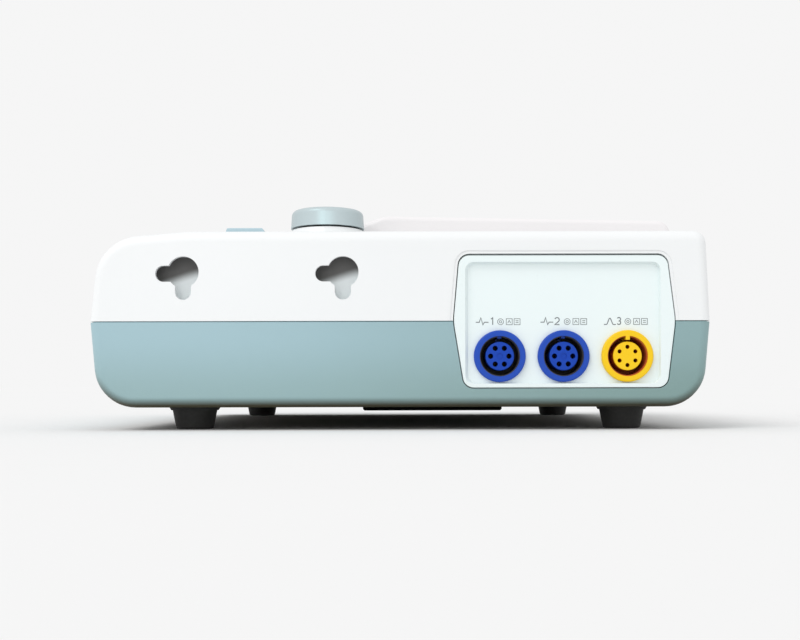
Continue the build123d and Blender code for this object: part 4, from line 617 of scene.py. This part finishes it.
# Trace, its start and width, and the starts of the digit and of the marks
rows = {
    1: (pulse, -0.0112, 0.0060, -0.0048, -0.0009),
    2: (pulse, -0.0107, 0.0060, -0.0040, 0.0005),
    3: (hump, -0.0108, 0.0056, -0.0048, -0.0009),
}
for number, (trace, trace_start, trace_width, digit_start, marks_start) in rows.items():
    middle = middle_of(f"socket_ring_{number}")
    form = bmesh.new()

    def on_dish(u, v, height):
        return Vector((dish_x + height, middle.y + u, row_z + v))

    def strokes_at(strokes, start, width, height, line, closed=False):
        """Lines given in shares of a width and a height, from a start on."""
        for stroke in strokes:
            ribbon(form, [(start + u * width, v * height) for u, v in stroke], line, on_dish,
                   closed)

    strokes_at([trace], trace_start, trace_width, digit_height, trace_line)
    strokes_at(digits[number], digit_start, digit_width, digit_height, digit_line)
    centre = (marks_start + mark_side / 2, mark_side / 2)
    ribbon(form, arc(*centre, mark_side / 2, 0, 345, 23), mark_line, on_dish, closed=True)
    ribbon(form, arc(*centre, mark_side / 5, 0, 330, 11), mark_line, on_dish, closed=True)
    for step in (arrow_mark_step, bar_mark_step):
        strokes_at([[(0.0, 0.0), (1.0, 0.0), (1.0, 1.0), (0.0, 1.0)]], marks_start + step,
                   mark_side, mark_side, mark_line, closed=True)
    strokes_at([[(0.25, 0.30), (0.50, 0.72), (0.75, 0.30)]], marks_start + arrow_mark_step,
               mark_side, mark_side, sign_line)
    strokes_at([[(0.25, v), (0.75, v)] for v in (0.35, 0.65)], marks_start + bar_mark_step,
               mark_side, mark_side, sign_line)
    piece(f"socket_mark_{number}", form, print_grey, "case")


# ---------------------------------------------------------------- linings of the hanging holes, sheets that carry painted shade and painted light
def well_reach(angle, ends, radius):
    """Distance from the entry's middle to the well's wall, the well being two round slots."""
    reach = radius
    for y, z in ends:
        length = (y * y + z * z) ** 0.5
        off = angle - atan2(z, y)
        if cos(off) <= 0.0:
            continue
        side = radius / max(abs(sin(off)), 1e-6)
        if side * cos(off) > length:
            side = length * cos(off) + max(0.0, radius ** 2 - (length * sin(off)) ** 2) ** 0.5
        reach = max(reach, side)
    return reach


well_ends = ((-0.0092, -0.0007), (0.0, -0.0092))
well_z = 0.0744
well_middles = {"front": -0.1019, "rear": -0.0269}
well_floor, well_mouth = 0.1390, 0.1462
lining_floor = 0.0003
lining_outside, lining_inside = 0.00777, 0.00762
lining_steps = 144
for name, y in well_middles.items():
    form = bmesh.new()
    rings = []
    for x, radius in ((well_floor, lining_outside), (well_mouth, lining_outside),
                      (well_mouth, lining_inside), (well_floor + lining_floor, lining_inside)):
        ring = []
        for step in range(lining_steps):
            angle = 2 * pi * step / lining_steps
            reach = well_reach(angle, well_ends, radius)
            ring.append(form.verts.new((x, y + reach * cos(angle), well_z + reach * sin(angle))))
        rings.append(ring)
    for one, two in zip(rings, rings[1:]):
        bridge(form, one, two)
    form.faces.new(rings[0])
    form.faces.new(rings[-1])
    bmesh.ops.recalc_face_normals(form, faces=form.faces)
    piece(f"hanging_hole_painted_shade_{name}", form, painted_well_shade(f"painted_well_shade_{name}", y), "case")

# ---------------------------------------------------------------- marks on the key caps
# A ring, two arrow heads and two bars
key_marks = {
    1: [arc(0.0, 0.0, 0.0018, 0, 360, 24)],
    2: [[(-0.0022, -0.0012), (0.0, 0.0014), (0.0022, -0.0012)]],
    3: [[(-0.0022, 0.0012), (0.0, -0.0014), (0.0022, 0.0012)]],
    4: [[(-0.0020, 0.0010), (0.0020, 0.0010)], [(-0.0020, -0.0010), (0.0020, -0.0010)]],
}
key_line = 0.0007
for number, strokes in key_marks.items():
    low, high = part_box(f"key_{number}")
    middle = (low + high) / 2

    def on_key(u, v, height):
        return Vector((middle.x + u, middle.y + v, high.z + height))

    form = bmesh.new()
    for stroke in strokes:
        ribbon(form, stroke, key_line, on_key)
    piece(f"key_mark_{number}", form, print_dark, f"key_{number}")

# ---------------------------------------------------------------- marks on the mains switch
# A bar on the upper half of the rocker and a ring on the lower half
frame_low, frame_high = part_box("switch_frame")
rocker_middle = (frame_low + frame_high) / 2
rocker_face = frame_high.y + 0.001
rocker_half = 0.00567
rise_middle, rise_top, rise_bottom = -0.00072, 0.0, -0.00181
bar_line, ring_line = 0.0006, 0.0005


def on_rocker(u, v, height):
    """A point on the rocker's face, which is bent at its middle."""
    rise_end = rise_top if v > 0 else rise_bottom
    rise = (rise_middle * (rocker_half - abs(v)) + rise_end * abs(v)) / rocker_half
    return Vector((rocker_middle.x - u, rocker_face + rise + height, rocker_middle.z + v))


form = bmesh.new()
ribbon(form, [(0.0, 0.0018), (0.0, 0.0042)], bar_line, on_rocker)
ribbon(form, arc(0.0, -0.0030, 0.0013, 0, 330, 15), ring_line, on_rocker, closed=True)
piece("mains_rocker_marks", form, print_white, "mains_rocker")

# ---------------------------------------------------------------- serial port
# The insulator's face and the rims of its nine sockets
port_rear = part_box("serial_port")[1].y
port = middle_of("serial_port")
face_width, face_foot, face_height = 0.0071, 0.0062, 0.0029
face_rise, face_slope = 0.0006, 0.0004
row_height, contact_pitch = 0.00142, 0.00277
contact_radius, contact_rim = 0.00062, 0.00036
outline = [(-face_width, face_height), (face_width, face_height), (face_foot, -face_height),
           (-face_foot, -face_height)]
form = bmesh.new()
rings = []
for inset, rise in ((0.0, 0.0), (0.0, face_rise / 2), (face_slope, face_rise)):
    rings.append([form.verts.new((port.x + u * (1 - inset / face_width), port_rear + rise,
                                  port.z + v * (1 - inset / face_height))) for u, v in outline])
for one, two in zip(rings, rings[1:]):
    bridge(form, one, two)
form.faces.new(rings[0])
form.faces.new(rings[-1])
bmesh.ops.recalc_face_normals(form, faces=form.faces)
piece("serial_insulator", form, dark, "case")


def on_insulator(u, v, height):
    return Vector((u, port_rear + face_rise + height, v))


form = bmesh.new()
for row, count in ((row_height, 5), (-row_height, 4)):
    for index in range(count):
        across = port.x + (index - (count - 1) / 2) * contact_pitch
        ribbon(form, arc(across, port.z + row, contact_radius, 0, 330, 11), contact_rim,
               on_insulator, closed=True, thick=0.0002)
piece("serial_contacts", form, gold, "case")

# ---------------------------------------------------------------- network port
# Eight sprung contact wires that slope down into its mouth
port_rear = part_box("network_port")[1].y
port = middle_of("network_port")
port_top = port.z + 0.0040
wire_count, wire_pitch = 8, 0.00102
wire_width, wire_height = 0.0004, 0.0003
wire = [(-0.0110, -0.0030), (-0.0050, -0.0012), (-0.0025, -0.0004)]
form = bmesh.new()
for index in range(wire_count):
    wire_x = port.x + (index - (wire_count - 1) / 2) * wire_pitch

    def beside(u, v, height):
        return Vector((wire_x - wire_width / 2 + height, u, v))

    ribbon(form, [(port_rear + u, port_top + v) for u, v in wire], wire_height, beside,
           thick=wire_width)
piece("network_contacts", form, gold, "case")

# ---------------------------------------------------------------- end
low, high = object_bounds()
